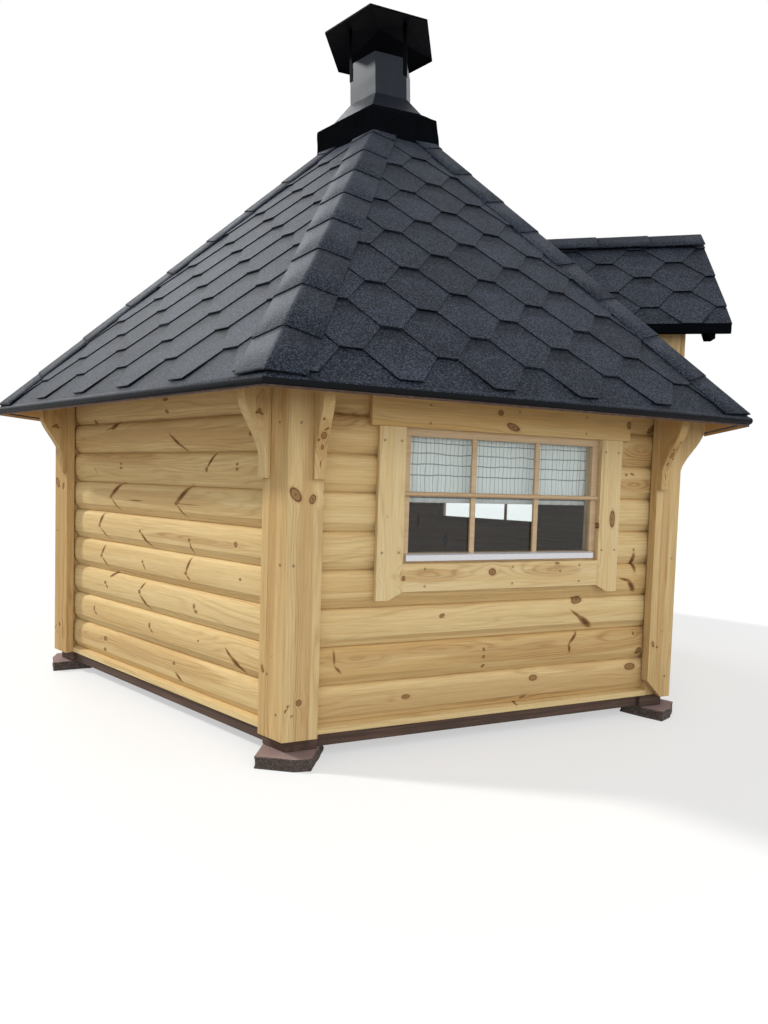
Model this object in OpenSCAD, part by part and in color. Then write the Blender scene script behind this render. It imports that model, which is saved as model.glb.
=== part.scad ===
// Hexagonal log grill cabin with a steep shingled roof, a dormer over the
// door and a hexagonal flue. Millimetres, +Z up, origin on the ground at the
// middle of the plan. The door wall faces +X, one corner points to -Y.

/* [Walls] */
// Distance across the flats, from log face to log face
wall_across = 2744; // [2400:4:3400]
// Thickness of a wall log, from its round face to the room
log_t = 45; // [36:1:70]
// Height that each log covers
log_h = 132; // [100:1:160]
// How far the round face of a log stands out from its joints
log_bulge = 20; // [8:1:28]
// Open height of the joint between two logs
log_joint = 4; // [2:1:8]
// Height of the drip strip under the lowest log
strip_h = 24; // [16:1:40]
// How far the drip strip stands out from the log faces
strip_proud = 6; // [2:1:12]

/* [Base] */
// Height of the corner stones
stone_h = 42; // [30:1:80]
// Side of a corner stone
stone_w = 200; // [160:5:320]
// How far the corner stones reach out past the corner blocks
stone_reach = 46; // [20:2:70]
// Height of the base timbers
base_h = 45; // [36:1:100]
// Width of a base timber
base_w = 95; // [80:1:140]
// How far the corner blocks of the base stand out from the beams
block_proud = 17; // [6:1:24]
// Length of a corner block along each wall
block_l = 112; // [80:2:200]
// Thickness of the floor boards
floor_t = 22; // [18:1:32]
// Running gap between the floor and the walls
floor_gap = 1; // [1:1:6]

/* [Corners] */
// Width of each of the two boards that cover a corner
corner_board_w = 120; // [90:2:160]
// How far the corner boards stand out from the log faces
corner_proud = 41; // [30:1:60]
// How far the logs run in behind a corner board
log_lap = 24; // [10:1:40]
// Size of the cut at the foot of the one corner board that is trimmed
foot_cut = 72; // [30:2:90]
// Depth of that cut, the thickness of the loose board
foot_cut_depth = 30; // [15:1:35]
// Gap that keeps the foot of the corner boards off the base
corner_foot_gap = 4; // [2:1:10]

/* [Eave brackets] */
// Thickness of a knee bracket
bracket_t = 38; // [28:1:50]
// Reach of a bracket's foot from the corner board
bracket_foot = 22; // [15:1:35]
// Reach of a bracket's head from the corner board
bracket_head = 112; // [80:2:150]
// Depth of a bracket's foot end below the eave's lower edge
bracket_drop = 255; // [240:1:400]
// Height of the straight part at a bracket's foot
bracket_foot_h = 62; // [40:1:100]
// Height of the bracket's curve
bracket_curve_h = 205; // [120:5:230]

/* [Roof] */
// Overhang of the eaves past the log faces
eave_overhang = 252; // [200:2:400]
// Height of the eave's lower edge above the ground
eave_z = 1198; // [1150:1:1300]
// Slope of the roof faces in degrees
roof_pitch = 48.3; // [40:0.1:52]
// Thickness of the roof boards
deck_t = 18; // [15:1:28]
// Thickness of the edging round the eave
edging_t = 6; // [3:1:12]
// Height of the edging round the eave
edging_h = 22; // [16:1:40]
// How far the edging stays above the eave's lower edge
edging_lift = 8; // [0:1:12]

/* [Window] */
// Clear width between the side casings
window_w = 830; // [600:10:860]
// Depth of the opening's upper edge below the eave's lower edge
window_drop = 66; // [50:1:200]
// Clear height between the bottom and top casings
window_h = 472; // [380:1:480]
// Distance of the window's middle from the wall's, towards the next corner
window_shift = 14; // [0:2:20]
// How far the hole in the logs reaches past the clear opening
hole_lap = 15; // [10:1:20]
// Width of the casing boards
casing_w = 98; // [70:1:110]
// Thickness of the side and bottom casings
casing_t = 22; // [16:1:28]
// Extra thickness of the top casing
head_extra = 6; // [0:1:12]
// Overhang of the top casing past the side casings
head_overhang = 32; // [10:1:40]
// How far the side casings run down past the bottom casing
casing_foot = 28; // [10:1:45]
// Width of the slanted cut at the foot of a side casing
casing_foot_cut = 50; // [20:2:70]
// Width of the window frame's top and side timbers
frame_w = 39; // [30:1:50]
// Height of the window frame's lower timber
frame_foot = 46; // [34:1:60]
// Depth of the window frame's timber
frame_d = 38; // [28:1:42]
// Gap between the window frame and the logs
frame_gap = 3; // [1:1:5]
// Thickness of the glass
glass_t = 4; // [3:1:8]
// Setback of the glass behind the frame's face
glass_setback = 12; // [8:1:18]
// Depth of the groove that holds the glass
glass_rebate = 8; // [5:1:12]
// Height of the metal sill's front
sill_h = 21; // [14:1:26]
// Fall of the sill's top towards its front
sill_fall = 5; // [2:1:8]
// Depth of the metal sill
sill_d = 14; // [10:1:20]
// Height of the sill's lower edge above the bottom casing
sill_lift = 8; // [4:1:14]
// Gap between the sill's ends and the side casings
sill_gap = 14; // [4:1:20]
// Height of the short curtain behind the upper panes
curtain_h = 252; // [160:4:300]
// Thickness of the curtain's folds
curtain_t = 14; // [8:1:24]

/* [Door and dormer] */
// Width of the door surround over its side cheeks
portal_w = 880; // [780:10:1000]
// How far the surround's front face stands out from the log faces
portal_reach = 142; // [110:2:200]
// Thickness of a side cheek
cheek_t = 45; // [34:1:60]
// Thickness of the boards on the front of the surround
front_t = 20; // [16:1:28]
// Height of the threshold
threshold_h = 23; // [18:1:40]
// Width of the door frame's timber
jamb_w = 35; // [28:1:50]
// Depth of the door frame
jamb_d = 85; // [70:1:110]
// Height of the top of the door above the ground
door_top = 1700; // [1560:5:1720]
// Thickness of the door leaf
leaf_t = 40; // [32:1:50]
// Gap round the door leaf
leaf_gap = 3; // [2:1:6]
// Setback of the leaf behind the front boards
leaf_setback = 6; // [2:1:12]
// Width of the stop behind the door leaf
stop_w = 12; // [8:1:20]
// Height of a strap hinge
hinge_h = 32; // [24:1:45]
// Thickness of a strap hinge
hinge_t = 5; // [3:1:5]
// Distance of the hinges from the foot and the top of the door
hinge_inset = 260; // [180:5:340]
// Length of the pull handle
handle_l = 150; // [110:5:220]
// Reach of the pull handle from the leaf
handle_d = 38; // [30:1:50]
// Thickness of the pull handle
handle_t = 14; // [10:1:18]
// Height of each foot of the pull handle
handle_foot = 18; // [12:1:26]
// Distance of the handle from the free side of the door opening
handle_inset = 70; // [50:1:110]
// Overhang of the dormer's eaves past the side cheeks
dormer_side = 64; // [40:2:100]
// Height of the dormer eave's lower edge above the ground
dormer_eave_z = 1668; // [1640:2:1760]
// Overhang of the dormer's front edge past the surround's front face
dormer_front = 170; // [110:2:220]
// Height of the edging boards along the dormer's eaves
dormer_edging_h = 46; // [30:1:60]
// Thickness of the edging boards along the dormer's eaves
dormer_edging_t = 12; // [8:1:20]
// Thickness of a barge board
barge_t = 32; // [20:1:36]
// Depth of a barge board, square to the slope
barge_h = 70; // [50:1:110]
// Setback of the barge boards from the dormer's front edge
barge_setback = 62; // [30:2:90]
// How far the barge boards' tails hang below the edging
barge_tail = 20; // [5:1:40]

/* [Flue] */
// Distance across the flats of the smoke opening in the roof
smoke_across = 290; // [250:2:300]
// Distance across the flats of the felt-covered collar
collar_across = 644; // [580:2:740]
// Height of the collar's outer side, from the roof boards
collar_side = 143; // [100:1:170]
// Height of the collar's sloping shoulder
collar_shoulder = 69; // [40:1:80]
// Lean of the flue and its collar away from the door, in degrees
flue_lean = 2.3; // [0:0.1:5]
// Distance that they stand off the middle, away from the door
flue_shift = 18; // [0:1:30]
// Distance across the flats of the skirt's lower edge
skirt_across = 472; // [420:2:520]
// Height of the flared skirt under the stem
skirt_h = 114; // [90:1:160]
// Distance across the flats of the metal stem
stem_across = 310; // [308:1:336]
// Height of the straight stem above its skirt
stem_h = 215; // [160:2:300]
// Thickness of the sheet metal
sheet_t = 3; // [2:1:4]
// Distance across the flats of the cap
cap_across = 552; // [480:2:640]
// Height of the cap's rim above the stem
cap_gap = 141; // [80:1:180]
// Rise of the cap from its rim to its point
cap_rise = 96; // [60:2:130]
// Height of the lip folded down round the cap
cap_lip = 10; // [6:1:20]
// Width of each leaf of a cap strap
strap_w = 20; // [14:1:30]
// How far the straps run down over the stem
strap_lap = 92; // [50:2:140]

/* [Hidden] */
SIDES = 6;
STEP = 360 / SIDES;
CORNER = 30;
wall_ap = wall_across / 2;
wall_in = wall_ap - log_t;
corner_ap = wall_ap + corner_proud;
eave_ap = wall_ap + eave_overhang;
deck_ap = eave_ap - edging_t;
wall_z = stone_h + base_h;
log_z = wall_z + strip_h;
rise = tan(roof_pitch);
deck_plumb = deck_t / cos(roof_pitch);
beam_ap = wall_ap - 4;
block_ap = beam_ap + block_proud;
// Y of the inner edge of a corner board, and of the logs' ends behind it
board_edge = corner_ap * tan(CORNER) - corner_board_w;
// Hair gap between pieces that seat on each other
seat = 0.3;
log_end = board_edge + log_lap;
board_back = wall_ap + strip_proud + seat;
beam_end = block_ap * tan(CORNER) - block_l;
bracket_z = eave_z - bracket_drop;
bracket_curve_z = bracket_z + bracket_foot_h;
window_z = eave_z - window_drop - window_h;
portal_x = wall_ap + portal_reach;
portal_y = portal_w / 2;
dormer_x = portal_x + dormer_front;
dormer_reach = portal_y + dormer_side;
dormer_ridge_z = dormer_eave_z + dormer_reach * rise;
frame_half = window_w / 2 + hole_lap - frame_gap;
hole_z = window_z - hole_lap;
hole_h = window_h + 2 * hole_lap;
glass_half = frame_half - frame_w;
glass_z = hole_z + frame_gap + frame_foot;
glass_h = hole_h - 2 * frame_gap - frame_foot - frame_w;
frame_x = wall_ap;
casing_x = frame_x + seat;
leaf_x = portal_x - front_t - leaf_t - leaf_setback;
collar_ap = collar_across / 2;
collar_z = over(collar_ap) + collar_side;
collar_foot = over(collar_ap + flue_shift) - 5;
skirt_ap = skirt_across / 2;
skirt_z = collar_z + collar_shoulder;
skirt_top = skirt_z + skirt_h;
stem_ap = stem_across / 2;
stem_top = skirt_top + stem_h;
strap_z = stem_top - strap_lap;
cap_ap = cap_across / 2;
cap_z = stem_top + cap_gap;
// The whole cabin is moved so that the ground point under the middle of its
// outline, dormer included, is the origin
centre_x = -(dormer_x - eave_ap) / 2;
FAR = 4 * eave_ap;

// Walls by number, counted round from the one left of the door
LEFT_FRONT = 0;
DOOR = 1;
RIGHT_FRONT = 2;
RIGHT_REAR = 3;
REAR = 4;
LEFT_REAR = 5;
WINDOW_WALLS = [LEFT_FRONT, RIGHT_FRONT, REAR];
// The corner whose board is trimmed at the foot
TRIMMED_CORNER = 0;

WOOD = "burlywood";
DARK_WOOD = "saddlebrown";
FELT = "darkslategray";
METAL = "dimgray";

function hex_r(ap) = ap / cos(CORNER);
function under(x) = eave_z + (deck_ap - x) * rise;
function over(x) = under(x) + deck_plumb;
// Underside of the cap's sheet at a distance across half its flats
function cap_under(x) = cap_z - sheet_t + cap_rise * (1 - x / cap_ap);
function dormer_under(y) = dormer_eave_z + (dormer_reach - y) * rise;
// Mirror of a plan point across the line through the corner
function across_corner(p) = [
  p.x * cos(2 * CORNER) + p.y * sin(2 * CORNER),
  p.x * sin(2 * CORNER) - p.y * cos(2 * CORNER)
];
function reversed(list) = [for (i = [len(list) - 1:-1:0]) list[i]];

// Turn children from the local frame of a wall (x out, y along) into place
module on_wall(i) {
  rotate([0, 0, STEP * (i - 1)]) children();
}

// One pair of flats of a hexagonal solid: an outline drawn in x and z from
// points [half width across flats, height] that run from bottom to top
module hex_slab(turn, points) {
  rotate([0, 0, turn])
    along_wall(-FAR / 2, FAR / 2)
      polygon(concat(points, [for (p = reversed(points)) [-p.x, p.y]]));
}

// Hexagonal solid with its flats facing the walls
module hex_solid(points) {
  intersection() {
    hex_slab(0, points);
    hex_slab(STEP, points);
    hex_slab(2 * STEP, points);
  }
}

module hex_prism(ap, z0, z1) {
  hex_solid([[ap, z0], [ap, z1]]);
}

// Extrude an outline drawn in x and z along y, between two y values
module along_wall(y0, y1) {
  translate([0, y1, 0])
    rotate([90, 0, 0])
      linear_extrude(y1 - y0) children();
}

// Extrude an outline drawn in y and z along x, between two x values
module through_wall(x0, x1) {
  translate([x0, 0, 0])
    rotate([90, 0, 90])
      linear_extrude(x1 - x0) children();
}

// ---- Base ----

module corner_stones() {
  color("dimgray")
    for (i = [0:SIDES - 1])
      rotate([0, 0, STEP * i + CORNER])
        translate([hex_r(block_ap) + stone_reach - stone_w, -stone_w / 2, 0])
          cube([stone_w, stone_w, stone_h]);
}

// Beams under the walls and the blocks that they meet in at the corners
module base_frame() {
  half = [
    [block_ap, block_ap * tan(CORNER)],
    [block_ap, beam_end],
    [beam_ap - base_w, beam_end]
  ];
  outline = concat(half, reversed([for (p = half) across_corner(p)]));
  color(DARK_WOOD)
    for (i = [0:SIDES - 1])
      on_wall(i)
        translate([0, 0, stone_h]) {
          linear_extrude(base_h) polygon(outline);
          translate([beam_ap - base_w, -beam_end + seat, 0])
            cube([base_w, 2 * (beam_end - seat), base_h]);
        }
}

module floor() {
  color(WOOD) hex_prism(wall_in - floor_gap, wall_z, wall_z + floor_t);
}

// ---- Log walls ----

// Points of one log's round face, from its lower joint to its upper one
function log_face(z) =
  let (
    chord = log_h - log_joint,
    r = (pow(chord / 2, 2) + pow(log_bulge, 2)) / (2 * log_bulge),
    reach = asin(chord / 2 / r)
  )
  [for (a = [-reach:reach / 5:reach + 0.01])
    [wall_ap - r + r * cos(a), z + log_h / 2 + r * sin(a)]];

module log_profile() {
  courses = ceil((under(wall_in) - log_z) / log_h);
  faces = [for (i = [0:courses - 1]) each log_face(log_z + i * log_h)];
  intersection() {
    polygon(concat(
      [
        [wall_in, wall_z],
        [wall_ap + strip_proud, wall_z],
        [wall_ap + strip_proud, log_z - log_joint / 2],
        [wall_ap - log_bulge, log_z]
      ],
      faces,
      [[wall_in, log_z + courses * log_h]]
    ));
    polygon([
      [wall_in - 1, 0],
      [eave_ap, 0],
      [eave_ap, under(eave_ap)],
      [wall_in - 1, under(wall_in - 1)]
    ]);
  }
}

module log_wall(i, y0, y1) {
  color(WOOD) on_wall(i) along_wall(y0, y1) log_profile();
}

module window_wall(i) {
  difference() {
    log_wall(i, -log_end, log_end);
    on_window(i)
      translate([wall_in - 5, -window_w / 2 - hole_lap, hole_z])
        cube([log_t + strip_proud + 10, window_w + 2 * hole_lap, hole_h]);
  }
}

// ---- Corners ----

// Everything below the roof boards on the two faces beside a corner
module below_roof(i) {
  on_wall(i)
    along_wall(-FAR / 2, FAR / 2)
      polygon([
        [0, 0], [deck_ap, 0], [deck_ap, under(deck_ap)], [0, under(0)]
      ]);
}

module foot_trim() {
  translate([corner_ap - foot_cut_depth, board_edge - 1, 0])
    rotate([90, 0, 90])
      linear_extrude(foot_cut_depth + 1)
        polygon([
          [0, wall_z], [foot_cut + 1, wall_z],
          [foot_cut + 1, wall_z + corner_foot_gap + 1],
          [0, wall_z + corner_foot_gap + foot_cut]
        ]);
}

// The post on the corner that follows wall i, with its two cover boards
module corner_post(i) {
  half = [
    [corner_ap, corner_ap * tan(CORNER)],
    [corner_ap, board_edge],
    [board_back, board_edge],
    [board_back, log_end + seat],
    [wall_in, log_end + seat]
  ];
  outline = concat(
    half,
    [[wall_in, wall_in * tan(CORNER)]],
    reversed([for (p = half) across_corner(p)])
  );
  color(WOOD)
    difference() {
      intersection() {
        on_wall(i)
          translate([0, 0, wall_z]) linear_extrude(FAR) polygon(outline);
        below_roof(i);
        below_roof(i + 1);
      }
      if (i == TRIMMED_CORNER) on_wall(i) foot_trim();
    }
}

// One knee bracket on the local y = 0 side, curved on its outer edge
module bracket() {
  steps = 10;
  curve = [for (n = [0:steps])
    [
      corner_ap + bracket_foot
        + (bracket_head - bracket_foot) * (1 - cos(180 * n / steps)) / 2,
      bracket_curve_z + bracket_curve_h * n / steps
    ]];
  head = corner_ap + bracket_head;
  along_wall(0, bracket_t)
    polygon(concat(
      [[corner_ap, bracket_z], [corner_ap + bracket_foot, bracket_z]],
      curve,
      [[head, under(head)], [corner_ap, under(corner_ap)]]
    ));
}

module eave_brackets() {
  color(WOOD)
    for (i = [0:SIDES - 1])
      on_wall(i) {
        translate([0, board_edge, 0]) bracket();
        translate([0, -board_edge - bracket_t, 0]) bracket();
      }
}

// ---- Windows ----

// Turn children from a window's own frame, centred on it along y
module on_window(i) {
  on_wall(i) translate([0, window_shift, 0]) children();
}

module window_frame(i) {
  x0 = frame_x - frame_d;
  color(WOOD)
    on_window(i)
      difference() {
        translate([x0, -frame_half, hole_z + frame_gap])
          cube([frame_d, 2 * frame_half, hole_h - 2 * frame_gap]);
        translate([x0 - 1, -glass_half, glass_z])
          cube([frame_d + 2, 2 * glass_half, glass_h]);
        window_pane(seat);
      }
}

// The glass, let into the frame's grooves and grown by a clearance
module window_pane(grow) {
  half = glass_half + glass_rebate + grow;
  lap = glass_rebate + grow;
  translate([frame_x - glass_setback - glass_t - grow, -half, glass_z - lap])
    cube([glass_t + 2 * grow, 2 * half, glass_h + 2 * lap]);
}

module window_panes() {
  color("lightblue", 0.4)
    for (i = WINDOW_WALLS) on_window(i) window_pane(0);
}

// Short curtains that hang against the inside of the frames
module window_curtains() {
  half = glass_half + frame_w / 2;
  top = glass_z + glass_h + frame_w / 2;
  color("gainsboro")
    for (i = WINDOW_WALLS)
      on_window(i)
        translate([frame_x - frame_d - curtain_t - seat, -half, top - curtain_h])
          cube([curtain_t, 2 * half, curtain_h]);
}

// A side casing drawn on the local +y side, with its slanted foot
module side_casing() {
  y0 = window_w / 2;
  z0 = window_z - casing_w - casing_foot;
  through_wall(casing_x, casing_x + casing_t)
    polygon([
      [y0, z0 + casing_foot],
      [y0 + casing_foot_cut, z0],
      [y0 + casing_w, z0],
      [y0 + casing_w, window_z + window_h],
      [y0, window_z + window_h]
    ]);
}

module window_casing(i) {
  half = window_w / 2;
  head = half + casing_w + head_overhang;
  color(WOOD)
    on_window(i) {
      side_casing();
      mirror([0, 1, 0]) side_casing();
      translate([casing_x, -half, window_z - casing_w])
        cube([casing_t, 2 * half, casing_w]);
      translate([casing_x, -head, window_z + window_h])
        cube([casing_t + head_extra, 2 * head, casing_w]);
    }
}

module window_sills() {
  half = window_w / 2 - sill_gap;
  x0 = frame_x + seat;
  z0 = window_z + sill_lift;
  color("silver")
    for (i = WINDOW_WALLS)
      on_window(i)
        along_wall(-half, half)
          polygon([
            [x0, z0], [x0 + sill_d, z0], [x0 + sill_d, z0 + sill_h],
            [x0, z0 + sill_h + sill_fall]
          ]);
}

// ---- Roof ----

// One roof face: boards from the smoke opening down to the eave
module roof_face(i) {
  top = smoke_across / 2;
  color(FELT)
    on_wall(i)
      intersection() {
        along_wall(-FAR / 2, FAR / 2)
          polygon([
            [top, under(top)], [deck_ap, under(deck_ap)],
            [deck_ap, over(deck_ap)], [top, over(top)]
          ]);
        linear_extrude(FAR)
          polygon([
            [top, -top * tan(CORNER)],
            [deck_ap, -deck_ap * tan(CORNER)],
            [deck_ap, deck_ap * tan(CORNER)],
            [top, top * tan(CORNER)]
          ]);
      }
}

// The space under the dormer's roof boards, over the whole door surround
module dormer_space(x0, x1) {
  through_wall(x0, x1)
    polygon([
      [-portal_y, -1], [portal_y, -1],
      [portal_y, dormer_under(portal_y)], [0, dormer_under(0)],
      [-portal_y, dormer_under(portal_y)]
    ]);
}

module roof_door_side() {
  difference() {
    roof_face(DOOR);
    dormer_space(0, FAR);
  }
}

module eave_edging() {
  z0 = eave_z + edging_lift;
  color(FELT)
    difference() {
      hex_prism(eave_ap, z0, z0 + edging_h);
      hex_prism(deck_ap, z0 - 1, z0 + edging_h + 1);
      translate([0, -portal_y, 0]) cube([FAR, portal_w, FAR]);
    }
}

// ---- Door and dormer ----

// Outline of a side cheek: it stands on the base and passes up through the
// roof, where its back edge follows the underside of the roof boards
module cheek_outline() {
  x1 = portal_x - front_t;
  top = dormer_under(portal_y - cheek_t);
  back = deck_ap - (top - eave_z) / rise;
  polygon([
    [wall_in, wall_z], [x1, wall_z],
    [x1, top],
    [back, top],
    [wall_in, under(wall_in)]
  ]);
}

module door_surround() {
  color(WOOD)
    for (side = [0, 1])
      mirror([0, side, 0])
        intersection() {
          along_wall(portal_y - cheek_t, portal_y) cheek_outline();
          dormer_space(0, FAR);
        }
}

module door_sill() {
  inner = portal_y - cheek_t;
  color(DARK_WOOD) {
    translate([beam_ap, -portal_y, stone_h])
      cube([portal_x - beam_ap, portal_w, base_h]);
    translate([wall_in, -inner, wall_z])
      cube([portal_x - wall_in, 2 * inner, threshold_h]);
  }
}

module door_frame() {
  outer = portal_y - cheek_t;
  inner = outer - jamb_w;
  z0 = wall_z + threshold_h;
  stop_d = jamb_d - leaf_setback - leaf_t - seat;
  color(WOOD)
    translate([portal_x - front_t - jamb_d, 0, 0])
      difference() {
        translate([0, -outer, z0])
          cube([jamb_d, 2 * outer, door_top + jamb_w - z0]);
        translate([-1, -inner + stop_w, z0 - 1])
          cube([jamb_d + 2, 2 * (inner - stop_w), door_top - stop_w - z0 + 1]);
        translate([stop_d, -inner, z0 - 1])
          cube([jamb_d, 2 * inner, door_top - z0 + 1]);
      }
}

// Boards on the front: a casing each side of the door and the gable above
module door_front() {
  inner = portal_y - cheek_t - jamb_w;
  color(WOOD)
    intersection() {
      difference() {
        translate([portal_x - front_t, -portal_y, wall_z])
          cube([front_t, portal_w, dormer_ridge_z - wall_z]);
        translate([0, -inner, 0]) cube([FAR, 2 * inner, door_top]);
        translate([0, -portal_y + cheek_t, 0])
          cube([FAR, portal_w - 2 * cheek_t, wall_z + threshold_h]);
      }
      dormer_space(0, FAR);
    }
}

module door_leaf() {
  half = portal_y - cheek_t - jamb_w - leaf_gap;
  z0 = wall_z + threshold_h + leaf_gap;
  color(WOOD)
    translate([leaf_x, -half, z0])
      cube([leaf_t, 2 * half, door_top - leaf_gap - z0]);
}

// Two strap hinges and a pull handle, seated on the leaf
module door_fittings() {
  inner = portal_y - cheek_t - jamb_w;
  face = leaf_x + leaf_t;
  color(METAL) {
    for (z = [wall_z + hinge_inset, door_top - hinge_inset])
      translate([face, -inner + seat, z]) cube([hinge_t, inner * 1.1, hinge_h]);
    translate([face, inner - handle_inset, (wall_z + door_top) / 2])
      pull_handle();
  }
}

module pull_handle() {
  difference() {
    translate([0, 0, -handle_l / 2]) cube([handle_d, handle_t, handle_l]);
    translate([-1, -1, -handle_l / 2 + handle_foot])
      cube([handle_d - handle_t + 1, handle_t + 2, handle_l - 2 * handle_foot]);
  }
}

// One dormer roof slope on the local +y side, trimmed to the main roof
module dormer_slope() {
  color(FELT)
    difference() {
      through_wall(0, dormer_x)
        polygon([
          [0, dormer_under(0)],
          [dormer_reach, dormer_under(dormer_reach)],
          [dormer_reach, dormer_under(dormer_reach) + deck_plumb],
          [0, dormer_under(0) + deck_plumb]
        ]);
      below_deck_top();
    }
}

// Everything under the top of the main roof's door side
module below_deck_top() {
  along_wall(-FAR / 2, FAR / 2)
    polygon([
      [-1, -1], [deck_ap + 200, -1], [deck_ap + 200, over(deck_ap + 200)],
      [-1, over(-1)]
    ]);
}

// Barge boards under the front overhang and edging along both eaves
module dormer_trim() {
  drop = barge_h / cos(roof_pitch);
  x1 = dormer_x - barge_setback;
  z0 = dormer_eave_z + deck_plumb - dormer_edging_h + 2;
  main_roof_x = deck_ap - (z0 - deck_plumb - eave_z) / rise;
  tail_z = z0 - barge_tail;
  tail_w = (tail_z + drop - dormer_eave_z) / rise;
  color(FELT)
    for (side = [0, 1])
      mirror([0, side, 0]) {
        through_wall(x1 - barge_t, x1)
          polygon([
            [0.5, dormer_under(0.5)],
            [dormer_reach, dormer_under(dormer_reach)],
            [dormer_reach, tail_z],
            [dormer_reach - tail_w, tail_z],
            [0.5, dormer_under(0.5) - drop]
          ]);
        translate([main_roof_x, dormer_reach, z0])
          cube([dormer_x - main_roof_x, dormer_edging_t, dormer_edging_h]);
      }
}

// ---- Flue ----

// Felt-covered collar that seats on the roof round the smoke opening
module smoke_collar() {
  color("black")
    difference() {
      leaning()
        hex_solid([
          [collar_ap, collar_foot], [collar_ap, collar_z], [skirt_ap, skirt_z]
        ]);
      roof_core();
      hex_prism(smoke_across / 2, 0, FAR);
    }
}

// The lean and shift of the flue, turned at the top of the collar's side
module leaning() {
  translate([-flue_shift, 0, collar_z])
    rotate([0, -flue_lean, 0])
      translate([0, 0, -collar_z])
        children();
}

// Everything under the top of the roof boards, inside the collar
module roof_core() {
  inside = collar_ap + 50;
  tip = smoke_across / 2 - 20;
  hex_solid([[inside, over(inside)], [tip, over(tip)]]);
}

// Straight stem and flared skirt, bent from one sheet
module flue_stem() {
  outside = [[skirt_ap, skirt_z], [stem_ap, skirt_top], [stem_ap, stem_top]];
  color(METAL)
    leaning()
      difference() {
        hex_solid(outside);
        hex_solid([for (p = outside) [p.x - sheet_t, p.y]]);
      }
}

// Shallow pyramid with a folded lip, on three angle straps
module flue_cap() {
  tip = 2;
  inner = cap_ap - sheet_t;
  color(METAL) leaning() {
    difference() {
      hex_solid([
        [cap_ap, cap_z - cap_lip], [cap_ap, cap_z], [tip, cap_z + cap_rise]
      ]);
      hex_solid([
        [inner, cap_z - cap_lip], [inner, cap_under(inner)], [tip, cap_under(tip)]
      ]);
    }
    for (i = [0:2]) rotate([0, 0, 120 * i - CORNER]) cap_strap();
  }
}

// An angle strap round the stem's corner on the +x side, up into the cap
module cap_strap() {
  inner = hex_r(stem_ap) + seat;
  outer = inner + sheet_t;
  z1 = cap_under(outer * cos(CORNER)) + sheet_t / 2;
  side = [strap_w * cos(STEP), strap_w * sin(STEP)];
  translate([0, 0, strap_z])
    linear_extrude(z1 - strap_z)
      polygon([
        [outer, 0],
        [outer - side.x, side.y],
        [inner - side.x, side.y],
        [inner, 0],
        [inner - side.x, -side.y],
        [outer - side.x, -side.y]
      ]);
}

// The whole cabin's place over the origin
module centred() {
  translate([centre_x, 0, 0]) children();
}

centred() corner_stones();
centred() base_frame();
centred() floor();
centred() window_wall(LEFT_FRONT);  // wall_left_front
centred() log_wall(LEFT_REAR, -log_end, log_end);  // wall_left_rear
centred() window_wall(REAR);  // wall_rear
centred() log_wall(RIGHT_REAR, -log_end, log_end);  // wall_right_rear
centred() window_wall(RIGHT_FRONT);  // wall_right_front
centred() log_wall(DOOR, -log_end, -portal_y);  // wall_door_left
centred() log_wall(DOOR, portal_y, log_end);  // wall_door_right
centred() corner_post(LEFT_FRONT);  // corner_post_1
centred() corner_post(DOOR);  // corner_post_2
centred() corner_post(RIGHT_FRONT);  // corner_post_3
centred() corner_post(RIGHT_REAR);  // corner_post_4
centred() corner_post(REAR);  // corner_post_5
centred() corner_post(LEFT_REAR);  // corner_post_6
centred() eave_brackets();
centred() window_frame(LEFT_FRONT);  // window_frame_left
centred() window_frame(RIGHT_FRONT);  // window_frame_right
centred() window_frame(REAR);  // window_frame_rear
centred() window_casing(LEFT_FRONT);  // window_casing_left
centred() window_casing(RIGHT_FRONT);  // window_casing_right
centred() window_casing(REAR);  // window_casing_rear
centred() window_panes();
centred() window_sills();
centred() window_curtains();
centred() roof_face(LEFT_FRONT);  // roof_left_front
centred() roof_door_side();
centred() roof_face(RIGHT_FRONT);  // roof_right_front
centred() roof_face(RIGHT_REAR);  // roof_right_rear
centred() roof_face(REAR);  // roof_rear
centred() roof_face(LEFT_REAR);  // roof_left_rear
centred() eave_edging();
centred() door_surround();
centred() door_sill();
centred() door_frame();
centred() door_front();
centred() door_leaf();
centred() door_fittings();
centred() mirror([0, 1, 0]) dormer_slope();  // dormer_roof_left
centred() dormer_slope();  // dormer_roof_right
centred() dormer_trim();
centred() smoke_collar();
centred() flue_stem();
centred() flue_cap();
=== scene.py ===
"""Looks of a hexagonal log grill cabin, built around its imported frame.

Metres, +Z up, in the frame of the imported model. The door wall faces +X and one
corner points to -Y. Each wall has a local frame: x out of the cabin, y along
the wall and z up.
"""

import logging
import math
from dataclasses import dataclass
from enum import Enum
from typing import Iterable, Optional, Sequence, Union

import bmesh
import bpy
import numpy as np
from mathutils import Matrix, Vector, noise


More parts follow.
